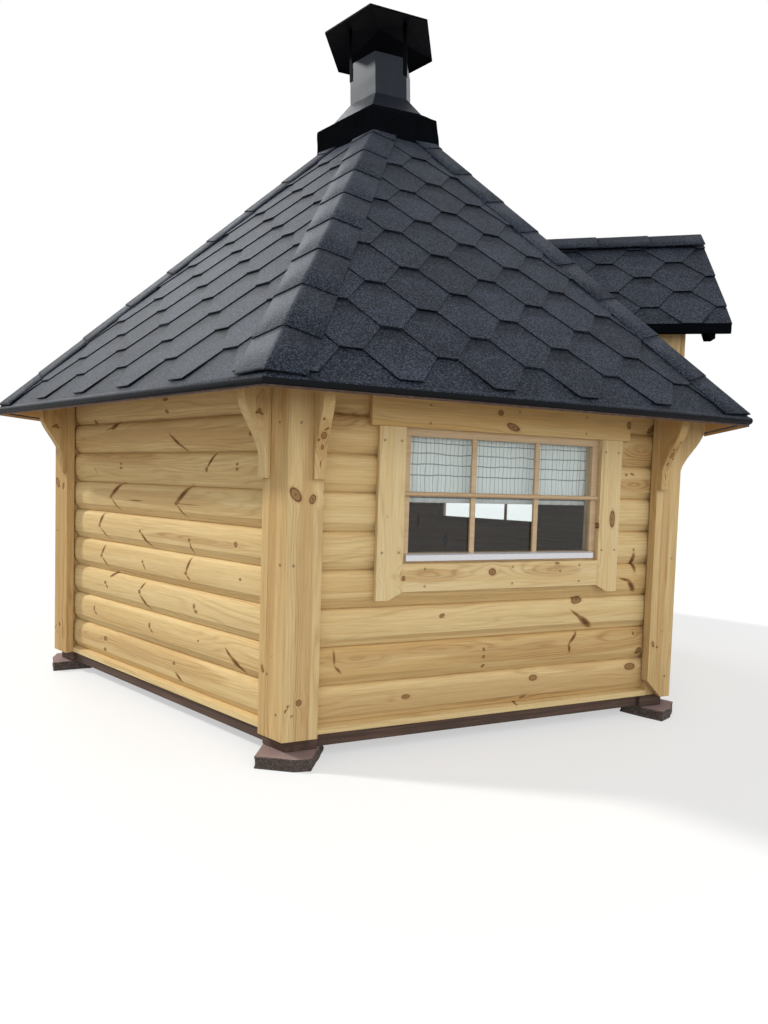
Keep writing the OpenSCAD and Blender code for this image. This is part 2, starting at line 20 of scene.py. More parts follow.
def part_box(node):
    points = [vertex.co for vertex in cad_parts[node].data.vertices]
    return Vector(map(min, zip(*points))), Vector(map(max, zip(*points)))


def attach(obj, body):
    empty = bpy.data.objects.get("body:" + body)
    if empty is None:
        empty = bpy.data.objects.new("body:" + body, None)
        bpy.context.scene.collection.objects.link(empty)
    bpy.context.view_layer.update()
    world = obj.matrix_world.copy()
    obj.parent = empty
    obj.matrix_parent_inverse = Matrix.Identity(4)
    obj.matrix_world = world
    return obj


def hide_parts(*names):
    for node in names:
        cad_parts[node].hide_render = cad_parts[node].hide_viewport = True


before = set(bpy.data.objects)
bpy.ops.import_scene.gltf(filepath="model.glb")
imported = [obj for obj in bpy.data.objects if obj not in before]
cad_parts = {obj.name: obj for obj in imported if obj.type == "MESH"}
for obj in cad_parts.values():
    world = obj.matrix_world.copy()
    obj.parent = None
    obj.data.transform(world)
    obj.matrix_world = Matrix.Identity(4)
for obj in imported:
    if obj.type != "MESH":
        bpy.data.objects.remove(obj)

LOG = logging.getLogger("grill_cabin")
MM = 0.001
BODY = "root"
SIXTH = math.radians(60)
HALF_CORNER = SIXTH / 2
HAIR = 0.3  # gap between seated solids, in millimetres
MERGE = 2e-5
CUT = 1e-6
PLAIN_TAB = Vector((0, 0.6, 0))

Colour = tuple[float, float, float]
Point2 = tuple[float, float]
Point3 = tuple[float, float, float]
Rows = Sequence[Sequence[float]]
Socket = bpy.types.NodeSocket
Number = Union[float, Socket]
Node = bpy.types.Node
Object = bpy.types.Object
Material = bpy.types.Material
Mesh = bpy.types.Mesh
BMesh = bmesh.types.BMesh
Vert = bmesh.types.BMVert
Face = bmesh.types.BMFace


class Wall(Enum):
    """The six walls, counted round from the one left of the door."""

    LEFT_FRONT = 0
    DOOR = 1
    RIGHT_FRONT = 2
    RIGHT_REAR = 3
    REAR = 4
    LEFT_REAR = 5

    @property
    def turn(self) -> float:
        """Angle of the wall's outward direction from +X, in radians."""
        return SIXTH * (self.value - 1)

    @property
    def next(self) -> "Wall":
        """The wall that follows on the +y side."""
        return Wall((self.value + 1) % 6)


WINDOW_WALLS = (Wall.LEFT_FRONT, Wall.RIGHT_FRONT, Wall.REAR)


class Grain(Enum):
    """Which way the grain of a timber runs."""

    ALONG_WALL = "along the wall"
    UPRIGHT = "upright"
    BRACKET = "upright, in a plane square to the wall"


class MarkKind(Enum):
    """What a mark in the wood is."""

    KNOT = 0
    SPIKE = 1
    HEART = 2


@dataclass(frozen=True)
class Plan:
    """Sizes that the pieces share, in metres.

    Distances called ap run from the middle of the plan square to a wall.
    """

    centre_x: float
    eave_z: float
    wall_z: float
    wall_ap: float = 1.372
    wall_in: float = 1.327
    strip_top: float = 0.111
    log_h: float = 0.132
    log_bulge: float = 0.020
    corner_ap: float = 1.413
    board_edge: float = 0.6958
    log_lap: float = 0.024
    deck_ap: float = 1.618
    pitch: float = math.radians(48.3)
    deck_t: float = 0.018
    collar_ap: float = 0.322
    portal_y: float = 0.440
    dormer_reach: float = 0.504
    dormer_eave_z: float = 1.668
    dormer_x: float = 1.684
    window_shift: float = 0.014
    window_w: float = 0.830
    window_z: float = 0.660
    window_h: float = 0.472
    hole_lap: float = 0.015

    @classmethod
    def from_frame(cls) -> "Plan":
        """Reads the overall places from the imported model.

        Returns:
            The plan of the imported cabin.
        """
        edging_lo, edging_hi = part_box("eave_edging")
        half = (edging_hi[1] - edging_lo[1]) / 2 * math.cos(HALF_CORNER)
        eave_z, wall_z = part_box("roof_rear")[0][2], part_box("floor")[0][2]
        return cls(centre_x=edging_lo[0] + half, eave_z=eave_z, wall_z=wall_z)

    @property
    def rise(self) -> float:
        """Rise of the roof for each metre inwards."""
        return math.tan(self.pitch)

    @property
    def plumb(self) -> float:
        """Upright thickness of the roof boards."""
        return self.deck_t / math.cos(self.pitch)

    @property
    def log_end(self) -> float:
        """Distance of a wall's end from its middle."""
        return self.board_edge + self.log_lap

    def under(self, ap: float) -> float:
        """Height of the underside of the roof boards at a distance."""
        return self.eave_z + (self.deck_ap - ap) * self.rise

    def local(self, wall: Wall) -> Matrix:
        """Matrix from a wall's local frame to the cabin's frame."""
        place = Matrix.Translation((self.centre_x, 0, 0))
        return place @ Matrix.Rotation(wall.turn, 4, "Z")

    def roof_frame(self, wall: Wall) -> Matrix:
        """Matrix from a roof face (along, up the slope, out) to the cabin."""
        c, s = math.cos(self.pitch), math.sin(self.pitch)
        foot = self.eave_z + self.plumb
        face = Matrix(((0, -c, s, self.deck_ap), (1, 0, 0, 0), (0, s, c, foot), (0, 0, 0, 1)))
        return self.local(wall) @ face

    def trim_under(self, bm: BMesh, turn: float = 0.0) -> None:
        """Cuts a timber off at the underside of a roof face.

        Args:
            bm: The timber, in a wall's frame.
            turn: Angle from that wall to the roof face's wall.
        """
        place = Matrix.Rotation(turn, 3, "Z")
        normal = Vector((math.sin(self.pitch), 0, math.cos(self.pitch)))
        cut_off(bm, place @ Vector((self.deck_ap, 0, self.eave_z)), place @ normal)

    def dormer_frame(self, side: int) -> Matrix:
        """Matrix from a dormer slope (along, up the slope, out) to the cabin.

        Args:
            side: -1 for the slope on the -Y side, 1 for the other.

        Returns:
            The slope's matrix, with its origin on the eave at the plan's middle.
        """
        c, s = math.cos(self.pitch), math.sin(self.pitch)
        across = (0, -side * c, side * s, side * self.dormer_reach)
        upward = (0, s, c, self.dormer_eave_z + self.plumb)
        face = Matrix(((-side, 0, 0, 0), across, upward, (0, 0, 0, 1)))
        return Matrix.Translation((self.centre_x, 0, 0)) @ face


# ---- Marks in the wood ----


@dataclass(frozen=True)
class Mark:
    """A knot, a spike knot or a patch of heartwood on a wall.

    Places and half sizes are in millimetres along the wall and up it.
    """

    kind: MarkKind
    y: float
    z: float
    half_y: float
    half_z: float
    turn: float = 0.0

    def measure(self, y: np.ndarray, z: np.ndarray) -> np.ndarray:
        """Distance from the mark's middle, 1 on its outline.

        Args:
            y: Places along the wall in millimetres.
            z: Heights in millimetres.

        Returns:
            The scaled distance of each point.
        """
        a = math.radians(self.turn)
        dy, dz = y - self.y, z - self.z
        u = dy * math.cos(a) + dz * math.sin(a)
        v = dz * math.cos(a) - dy * math.sin(a)
        return np.sqrt((u / self.half_y) ** 2 + (v / self.half_z) ** 2)

    @property
    def reach(self) -> tuple[float, float]:
        """Half extents along the wall and up it, in millimetres.

        Returns:
            The two half extents.
        """
        a = math.radians(self.turn)
        c, s = abs(math.cos(a)), abs(math.sin(a))
        return (
            math.hypot(self.half_y * c, self.half_z * s),
            math.hypot(self.half_y * s, self.half_z * c),
        )


def knot(y: float, z: float, half_y: float = 11, half_z: float = 8, turn: float = 0) -> Mark:
    """A round or oval knot."""
    return Mark(MarkKind.KNOT, y, z, half_y, half_z, turn)


def spike(y0: float, z0: float, y1: float, z1: float, width: float = 12) -> Mark:
    """A knot cut lengthwise, which runs from one point to another."""
    half = math.hypot(y1 - y0, z1 - z0) / 2
    turn = math.degrees(math.atan2(z1 - z0, y1 - y0))
    return Mark(MarkKind.SPIKE, (y0 + y1) / 2, (z0 + z1) / 2, half, width / 2, turn)


def heart(y: float, z: float, half_y: float, half_z: float, turn: float = 0) -> Mark:
    """A patch of darker heartwood."""
    return Mark(MarkKind.HEART, y, z, half_y, half_z, turn)


def marked(
    knots: Rows = (), spikes: Rows = (), hearts: Rows = ()
) -> tuple[Mark, ...]:
    """Marks from rows of numbers.

    Args:
        knots: Place along the wall, height, then half sizes and turn if given.
        spikes: Both ends of each spike knot, and its width if given.
        hearts: Place along the wall, height, half sizes and turn if given.

    Returns:
        The marks.
    """
    return (
        *(knot(*row) for row in knots),
        *(spike(*row) for row in spikes),
        *(heart(*row) for row in hearts),
    )


WINDOW_LOG_MARKS = marked(
    knots=(
        (-365, 184, 15, 8), (-232, 467, 11, 7, 20), (-54, 332, 7, 6), (-54, 305, 7, 6),
        (-52, 268, 7, 8), (168, 206, 18, 11), (129, 132, 12, 6, 15), (97, 113, 5, 5),
        (363, 499, 26, 12, 15), (639, 213, 26, 13), (682, 275, 15, 13, 60), (650, 350, 5, 7),
        (629, 697, 5, 5), (574, 1000, 7, 5), (604, 1004, 11, 4, -20), (701, 1190, 20, 14, 40),
    ),
    spikes=(
        (330, 463, 385, 425, 10), (370, 435, 437, 388, 24), (370, 370, 327, 327, 12),
        (327, 327, 335, 292, 12), (-634, 366, -632, 318, 8), (-632, 314, -606, 286, 9),
        (631, 683, 641, 606, 20), (561, 583, 620, 568, 10), (608, 572, 648, 524, 22),
    ),
    hearts=(
        (690, 560, 60, 18), (-100, 171, 1700, 40), (-560, 330, 130, 30), (250, 312, 420, 38),
        (-250, 345, 260, 20), (560, 330, 160, 36), (60, 398, 700, 9), (-640, 1150, 70, 40),
        (640, 1090, 80, 34), (620, 960, 90, 26),
    ),
)

PLAIN_LOG_MARKS = marked(
    knots=(
        (-541, 1176, 12, 8), (54, 1195, 10, 7), (51, 1243, 18, 6), (578, 1096, 8, 9),
        (-284, 987, 8, 5), (-284, 969, 11, 5), (330, 968, 7, 9), (509, 990, 7, 5),
        (509, 972, 8, 5), (-368, 842, 9, 7), (135, 834, 9, 7), (-466, 708, 9, 7),
        (-126, 707, 8, 6), (226, 697, 8, 6), (509, 704, 9, 10), (-446, 573, 9, 7),
        (-103, 580, 7, 6), (207, 567, 8, 6), (538, 583, 7, 5), (-410, 456, 10, 6),
        (-124, 452, 10, 8), (265, 447, 7, 9), (276, 428, 10, 6), (-508, 324, 7, 11),
        (-44, 322, 7, 11), (295, 320, 6, 4), (-404, 203, 15, 9), (-410, 152, 12, 7, 20),
        (136, 202, 9, 7),
    ),
    spikes=(
        (-372, 1140, -320, 1162, 26), (-420, 1132, -350, 1148, 6), (80, 1107, 184, 1039, 13),
        (-583, 980, -446, 980, 3), (-524, 977, -490, 932, 5), (380, 1030, 334, 976, 12),
        (-290, 902, -368, 844, 22), (-366, 838, -297, 780, 8), (-366, 838, -30, 830, 3),
        (218, 902, 135, 834, 22), (137, 830, 197, 780, 8), (140, 833, 445, 829, 4),
        (-436, 764, -466, 712, 18), (-464, 703, -388, 650, 8), (-122, 702, -54, 646, 13),
        (228, 690, 239, 646, 9), (-418, 622, -444, 578, 13), (-442, 568, -388, 526, 9),
        (-100, 574, -84, 548, 9), (236, 630, 208, 572, 12), (210, 560, 234, 542, 8),
        (-326, 512, -372, 486, 14), (-404, 450, -388, 430, 9), (-86, 494, -120, 462, 9),
        (-122, 440, -54, 386, 13), (-506, 312, -482, 298, 9), (-42, 312, -14, 292, 8),
        (460, 324, 500, 292, 11), (490, 300, 561, 252, 20), (145, 168, 190, 136, 13),
    ),
    hearts=(
        (-100, 1100, 500, 30), (330, 1090, 330, 34), (-300, 1010, 300, 22), (-420, 860, 120, 16),
        (0, 850, 420, 30), (260, 700, 330, 14), (0, 205, 420, 40), (-520, 190, 120, 20),
    ),
)

# Tone of each course of logs, counted from the strip upwards. The warmer tones of the top courses
# are partly the logs' own colour and partly painted shade under the eaves.
WINDOW_LOG_TONES = (0.0, 0.50, 0.95, 0.30, 0.60, 0.30, 0.15, 0.55, 0.75, 0.75)
PLAIN_LOG_TONES = (0.0, 0.45, 0.38, 0.08, 0.45, 0.42, 0.50, 0.62, 0.66, 0.70)

SIDE_BOARD_MARKS = marked(
    knots=(
        (-732, 879, 16, 11, 70), (-788, 893, 15, 27, 35), (-762, 215, 10, 11), (-799, 205, 5, 5),
        (-806, 190, 5, 5),
    ),
    hearts=((-752, 470, 27, 620), (-745, 640, 12, 250)),
)

FAR_BOARD_MARKS = marked(
    knots=((715, 311, 7, 14, 15), (737, 298, 5, 6)),
    spikes=((742, 350, 770, 372, 5),),
    hearts=((750, 600, 20, 500),),
)

BRACKET_MARKS = {
    Wall.LEFT_REAR: marked(
        knots=((50, 1156, 8, 8), (40, 1147, 6, 4), (62, 1149, 6, 4)),
        hearts=((42, 1180, 24, 46),),
    ),
    Wall.LEFT_FRONT: marked(
        knots=((-18, 1082, 9, 11), (-28, 1131, 3.5, 5), (-33, 1068, 3.5, 6), (-17, 1046, 5, 8)),
        spikes=((-21, 1097, -5, 1107, 7), (-16, 1016, -21, 978, 5)),
        hearts=((-19, 1066, 18, 60),),
    ),
    Wall.RIGHT_FRONT: marked(knots=((40, 1120, 9, 8),), hearts=((40, 1130, 16, 40),)),
    Wall.REAR: marked(knots=((-20, 1086, 8, 9),), hearts=((-19, 1080, 14, 50),)),
}

CASING_MARKS = marked(
    knots=(
        (-37, 1204, 11, 10), (17, 1156, 27, 12, -20), (550, 1195, 11, 15), (493, 823, 12, 34),
        (426, 796, 5, 13), (-464, 824, 4, 4), (-44, 625, 15, 13), (240, 653, 11, 5),
        (255, 621, 5, 4), (-397, 610, 7, 9),
    ),
    hearts=((-290, 618, 130, 24), (225, 622, 120, 22)),
)

Marks = dict[Wall, tuple[Mark, ...]]


# ---- Building with nodes ----


class Nodes:
    """A short way to write down a node tree."""

    def __init__(self, tree: bpy.types.NodeTree) -> None:
        """Takes the tree that nodes are added to."""
        self.tree = tree

    def add(self, kind: str, **settings: object) -> Node:
        """Adds a node and sets its properties.

        Args:
            kind: The node's type name.
            settings: Property names and values.

        Returns:
            The new node.
        """
        node = self.tree.nodes.new(kind)
        for name, value in settings.items():
            setattr(node, name, value)
        return node

    def put(self, socket: Socket, value: object) -> None:
        """Links a socket to an input, or sets the input's value.

        Args:
            socket: The input.
            value: A socket, a number, a vector or a colour.
        """
        if isinstance(value, bpy.types.NodeSocket):
            self.tree.links.new(value, socket)
        elif isinstance(value, tuple) and len(value) == 3 and socket.type == "RGBA":
            socket.default_value = (*value, 1.0)
        else:
            socket.default_value = value

    def fill(self, node: Node, **values: object) -> Node:
        """Sets a node's inputs by their labels, with _ for a space.

        Args:
            node: The node.
            values: A value or socket for each label.

        Returns:
            The node.
        """
        for label, value in values.items():
            self.put(node.inputs[label.replace("_", " ")], value)
        return node

    def math(self, operation: str, *values: Number, clamp: bool = False) -> Socket:
        """Adds a math node.

        Args:
            operation: The operation's name.
            values: Its numbers.
            clamp: Whether the result is kept from 0 to 1.

        Returns:
            The result.
        """
        node = self.add("ShaderNodeMath", operation=operation, use_clamp=clamp)
        for socket, value in zip(node.inputs, values):
            self.put(socket, value)
        return node.outputs[0]

    def times(self, first: Number, second: Number, clamp: bool = False) -> Socket:
        """The product of two numbers."""
        return self.math("MULTIPLY", first, second, clamp=clamp)

    def plus(self, first: Number, second: Number, clamp: bool = False) -> Socket:
        """The sum of two numbers."""
        return self.math("ADD", first, second, clamp=clamp)

    def minus(self, first: Number, second: Number, clamp: bool = False) -> Socket:
        """The first number less the second."""
        return self.math("SUBTRACT", first, second, clamp=clamp)

    def rest(self, share: Number) -> Socket:
        """What a share leaves of 1."""
        return self.math("SUBTRACT", 1.0, share)

    def line(self, value: Number, slope: Number, start: Number, clamp: bool = False) -> Socket:
        """A number times a slope, plus a start."""
        return self.math("MULTIPLY_ADD", value, slope, start, clamp=clamp)

    def smooth(self, value: Number, low: float, high: float) -> Socket:
        """Smooth step from 0 at low to 1 at high."""
        node = self.add("ShaderNodeMapRange", interpolation_type="SMOOTHSTEP")
        return self.fill(node, Value=value, From_Min=low, From_Max=high).outputs["Result"]

    def mix(self, factor: Number, first: object, second: object, blend: str = "MIX") -> Socket:
        """Mixes two colours.

        Args:
            factor: Share of the second colour.
            first: The first colour.
            second: The second colour.
            blend: How they mix.

        Returns:
            The mixed colour.
        """
        node = self.add("ShaderNodeMix", data_type="RGBA", blend_type=blend)
        for number, value in ((0, factor), (6, first), (7, second)):
            self.put(node.inputs[number], value)
        return node.outputs[2]

    def scaled(self, vector: Socket, scale: Point3) -> Socket:
        """Scales a vector on each axis."""
        node = self.add("ShaderNodeVectorMath", operation="MULTIPLY")
        self.put(node.inputs[0], vector)
        self.put(node.inputs[1], scale)
        return node.outputs[0]

    def noise(self, vector: Socket, scale: float, detail: float, rough: float) -> Socket:
        """Noise from 0 to 1 at a vector."""
        node = self.add("ShaderNodeTexNoise")
        self.fill(node, Vector=vector, Scale=scale, Detail=detail, Roughness=rough)
        return node.outputs[0]

    def streaky(self, vector: Socket, scale: Point3, detail: float, rough: float) -> Socket:
        """Noise that is drawn out along an axis."""
        return self.noise(self.scaled(vector, scale), 1.0, detail, rough)

    def parts(self, vector: Socket) -> tuple[Socket, ...]:
        """Splits a vector into its three numbers."""
        node = self.add("ShaderNodeSeparateXYZ")
        self.put(node.inputs[0], vector)
        return tuple(node.outputs)

    def attribute(self, name: str, part: str = "Vector") -> Socket:
        """Reads an attribute of the mesh."""
        return self.add("ShaderNodeAttribute", attribute_name=name).outputs[part]

    def place(self) -> Socket:
        """Object coordinates."""
        return self.add("ShaderNodeTexCoord").outputs["Object"]

    def bump(self, height: Socket, depth: float, strength: float = 1.0) -> Socket:
        """A normal from a height, whose full range is a depth in metres."""
        node = self.add("ShaderNodeBump")
        self.fill(node, Strength=strength, Distance=depth, Height=height)
        return node.outputs["Normal"]

    def blended(self, share: Socket, first: Socket, second: Socket, end: Node) -> None:
        """Mixes two shaders and links the result to the tree's end.

        Args:
            share: Share of the second shader.
            first: The first shader.
            second: The second shader.
            end: The output node.
        """
        both = self.add("ShaderNodeMixShader")
        for socket, value in zip(both.inputs, (share, first, second)):
            self.put(socket, value)
        self.put(end.inputs["Surface"], both.outputs[0])


def new_material(name: str) -> tuple[Material, Nodes, Node]:
    """Makes a material with one Principled shader.

    Args:
        name: The material's name.

    Returns:
        The material, its nodes and its shader.
    """
    material = bpy.data.materials.new(name)
    material.use_nodes = True
    nodes = Nodes(material.node_tree)
    return material, nodes, material.node_tree.nodes["Principled BSDF"]


# ---- Finishes ----


@dataclass(frozen=True)
class PineFinish:
    """Planed knotty pine, whose grain and marks follow mesh attributes."""

    name: str
    pale: Colour = (0.73, 0.548, 0.275)
    warm: Colour = (0.60, 0.395, 0.165)
    heartwood: Colour = (0.47, 0.27, 0.105)
    knot_rim: Colour = (0.270, 0.125, 0.040)
    knot_core: Colour = (0.050, 0.022, 0.008)
    contrast: float = 1.0
    roughness: float = 0.62
    ring_pitch: float = 0.021

    def material(self) -> Material:
        """Builds the material.

        Returns:
            The material.
        """
        material, n, shader = new_material(self.name)
        grain = n.attribute("grain")
        tone = n.attribute("tone", "Fac")
        knots, spikes, hearts = n.parts(n.attribute("mark"))
        _, _, across = n.parts(grain)
        bands = n.streaky(grain, (20, 0.8, 26), 3, 0.55)
        streaks = n.streaky(grain, (70, 2.6, 130), 3, 0.6)
        fibres = n.streaky(grain, (300, 9, 620), 2, 0.6)
        warp = n.streaky(grain, (9, 1.1, 9), 2, 0.5)
        rings = n.times(across, 2 * math.pi / self.ring_pitch)
        rings = n.plus(rings, n.times(warp, 62.0))
        rings = n.plus(rings, n.times(knots, 9.0))
        rings = n.plus(rings, n.times(hearts, 22.0))
        rings = n.line(n.math("SINE", rings), 0.5, 0.5)
        rings = n.math("POWER", rings, 3.0)
        shown = n.smooth(n.streaky(grain, (14, 0.9, 17), 2, 0.6), 0.40, 0.66)
        rings = n.times(rings, shown)
        level = n.line(n.minus(bands, 0.5), 1.9, 0.42)
        level = n.plus(level, n.line(tone, 0.8, -0.40))
        level = n.plus(level, n.line(streaks, 1.1, -0.55), clamp=True)
        base = n.mix(level, self.pale, self.warm)
        patch = n.plus(hearts, n.line(streaks, 0.5, -0.25))
        patch = n.smooth(patch, 0.40, 0.54)
        base = n.mix(n.times(patch, 0.42), base, self.heartwood)
        late = n.times(rings, n.line(patch, 0.20, 0.38 * self.contrast))
        base = n.mix(late, base, n.mix(1.0, base, (0.60, 0.46, 0.34), "MULTIPLY"))
        fine = n.line(fibres, 0.60, 0.70)
        base = n.mix(1.0, base, self.grey(n, fine), "MULTIPLY")
        ragged = n.line(streaks, 0.30, -0.15)
        edge = n.plus(spikes, n.times(ragged, 0.6))
        base = n.mix(n.times(n.smooth(edge, 0.20, 0.50), 0.45), base, self.heartwood)
        run = n.smooth(edge, 0.42, 0.56)
        base = n.mix(n.times(run, 0.9), base, self.knot_rim)
        core = n.smooth(edge, 0.60, 0.85)
        base = n.mix(n.times(core, 0.7), base, self.knot_core)
        halo = n.smooth(n.plus(knots, ragged), 0.22, 0.50)
        base = n.mix(n.times(halo, 0.55), base, self.heartwood)
        rim = n.smooth(n.plus(knots, n.times(ragged, 0.5)), 0.44, 0.56)
        base = n.mix(n.times(rim, 0.74), base, self.knot_rim)
        turns = n.math("SINE", n.times(knots, 52.0))
        ring = n.times(n.smooth(knots, 0.46, 0.52), n.rest(n.smooth(knots, 0.56, 0.66)))
        eye = n.line(n.smooth(knots, 0.80, 0.95), 0.7, n.times(ring, 0.75))
        eye = n.plus(eye, n.times(n.times(turns, rim), 0.12), clamp=True)
        base = n.mix(n.times(eye, 0.9), base, self.knot_core)
        rough = n.line(n.rest(rim), 0.14, self.roughness - 0.10)
        height = n.minus(n.times(fibres, 0.5), n.times(rings, 0.5))
        n.fill(
            shader,
            Base_Color=base, Roughness=n.line(streaks, 0.1, rough), Specular_IOR_Level=0.18,
            Normal=n.bump(height, 0.0006),
        )
        return material

    @staticmethod
    def grey(n: Nodes, value: Socket) -> Socket:
        """A grey of a given level."""
        node = n.add("ShaderNodeCombineXYZ")
        for socket in node.inputs:
            n.put(socket, value)
        return node.outputs[0]


@dataclass(frozen=True)
class StainedTimber:
    """Dark brown stained timber of the base."""

    name: str = "stained_timber"
    dark: Colour = (0.050, 0.026, 0.017)
    light: Colour = (0.150, 0.082, 0.052)

    def material(self) -> Material:
        """Builds the material.

        Returns:
            The material.
        """
        material, n, shader = new_material(self.name)
        grain = n.attribute("grain")
        streaks = n.streaky(grain, (60, 3, 90), 4, 0.6)
        patches = n.noise(grain, 6.0, 3, 0.6)
        level = n.times(n.smooth(streaks, 0.35, 0.7), patches, clamp=True)
        n.fill(
            shader,
            Base_Color=n.mix(level, self.dark, self.light), Roughness=0.75,
            Normal=n.bump(streaks, 0.0015),
        )
        return material


@dataclass(frozen=True)
class ShingleFinish:
    """Mineral granules on a bitumen strip, darker under the strip above."""

    name: str = "shingle_granules"
    dark: Colour = (0.002, 0.003, 0.006)
    light: Colour = (0.071, 0.086, 0.122)
    edge: Colour = (0.002, 0.002, 0.003)

    def material(self) -> Material:
        """Builds the material.

        Returns:
            The material.
        """
        material, n, shader = new_material(self.name)
        place = n.place()
        _, up, rim = n.parts(n.attribute("tab"))
        tone = n.attribute("tone", "Fac")
        fine = n.noise(place, 300.0, 2, 0.8)
        coarse = n.noise(place, 130.0, 2, 0.8)
        cloud = n.noise(place, 9.0, 3, 0.55)
        level = n.line(n.minus(fine, 0.5), 2.6, 0.26)
        level = n.plus(level, n.line(coarse, 3.4, -1.7))
        level = n.plus(level, n.line(cloud, 0.5, -0.25))
        level = n.plus(level, n.line(tone, 0.14, -0.07))
        wavy = n.plus(up, n.line(cloud, 0.24, -0.12))
        shade = n.times(n.smooth(wavy, 1.42, 1.62), 0.22)
        level = n.minus(level, shade, clamp=True)
        base = n.mix(level, self.dark, self.light)
        base = n.mix(n.smooth(rim, 0.4, 0.6), base, self.edge)
        grit = n.plus(n.times(fine, 0.6), n.times(coarse, 0.6))
        n.fill(
            shader,
            Base_Color=base, Roughness=n.line(coarse, 0.25, 0.48), Specular_IOR_Level=0.16,
            Specular_Tint=(0.84, 0.92, 1.0, 1.0), Normal=n.bump(grit, 0.0018),
        )
        return material


@dataclass(frozen=True)
class FeltFinish:
    """Black granular roofing felt."""

    name: str = "black_felt"
    dark: Colour = (0.0020, 0.0024, 0.0030)
    light: Colour = (0.0100, 0.0120, 0.0150)

    def material(self) -> Material:
        """Builds the material.

        Returns:
            The material.
        """
        material, n, shader = new_material(self.name)
        place = n.place()
        grit = n.noise(place, 320.0, 3, 0.7)
        cloud = n.noise(place, 14.0, 3, 0.6)
        level = n.times(n.smooth(grit, 0.35, 0.75), cloud, clamp=True)
        n.fill(
            shader,
            Base_Color=n.mix(level, self.dark, self.light), Roughness=0.85, Specular_IOR_Level=0.0,
            Normal=n.bump(grit, 0.001),
        )
        return material


@dataclass(frozen=True)
class FlueFinish:
    """Dark blue-grey enamelled sheet with faint rolling waves and dust."""

    name: str = "flue_enamel"
    dark: Colour = (0.003, 0.004, 0.007)
    light: Colour = (0.014, 0.017, 0.028)
    roughness: float = 0.38
    specular: float = 0.30

    def material(self) -> Material:
        """Builds the material.

        Returns:
            The material.
        """
        material, n, shader = new_material(self.name)
        place = n.place()
        dust = n.noise(place, 60.0, 4, 0.7)
        runs = n.streaky(place, (18, 18, 2.5), 3, 0.6)
        waves = n.noise(place, 7.0, 1, 0.4)
        level = n.line(dust, 0.7, n.line(runs, 0.8, -0.42), clamp=True)
        n.fill(
            shader,
            Base_Color=n.mix(level, self.dark, self.light),
            Roughness=n.line(dust, 0.2, self.roughness - 0.1), Specular_IOR_Level=self.specular,
            Specular_Tint=(0.78, 0.88, 1.0, 1.0), Normal=n.bump(waves, 0.004, 0.6),
        )
        return material


@dataclass(frozen=True)
class MetalFinish:
    """Bare or painted metal of the small parts."""

    name: str
    dark: Colour
    light: Colour
    metallic: float = 1.0
    roughness: float = 0.35

    def material(self) -> Material:
        """Builds the material.

        Returns:
            The material.
        """
        material, n, shader = new_material(self.name)
        place = n.place()
        worn = n.noise(place, 90.0, 4, 0.7)
        drawn = n.streaky(place, (260, 260, 40), 2, 0.6)
        level = n.line(worn, 0.8, n.line(drawn, 0.6, -0.3), clamp=True)
        n.fill(
            shader,
            Base_Color=n.mix(level, self.dark, self.light),
            Roughness=n.line(worn, 0.25, self.roughness - 0.1), Metallic=self.metallic,
            Normal=n.bump(drawn, 0.0003),
        )
        return material


@dataclass(frozen=True)
class PaneFinish:
    """Clear window glass with a faint film of dust."""

    name: str = "window_glass"
    tint: Colour = (0.94, 0.96, 0.96)
    gloss: Colour = (0.95, 0.98, 1.0)

    def material(self) -> Material:
        """Builds the material.

        Returns:
            The material.
        """
        material, n, shader = new_material(self.name)
        tree = material.node_tree
        tree.nodes.remove(shader)
        clear = n.fill(n.add("ShaderNodeBsdfTransparent"), Color=self.tint)
        smears = n.noise(n.place(), 11.0, 3, 0.6)
        gloss = n.fill(
            n.add("ShaderNodeBsdfGlossy"),
            Color=self.gloss,
            Roughness=n.line(smears, 0.05, 0.01),
            Normal=n.bump(n.noise(n.place(), 2.6, 1, 0.4), 0.006, 0.5),
        )
        fresnel = n.fill(n.add("ShaderNodeFresnel"), IOR=1.5)
        outer = n.rest(n.add("ShaderNodeNewGeometry").outputs["Backfacing"])
        share = n.line(smears, 0.01, n.times(fresnel.outputs[0], 0.8))
        share = n.times(share, outer, clamp=True)
        n.blended(share, clear.outputs[0], gloss.outputs[0], tree.nodes["Material Output"])
        return material


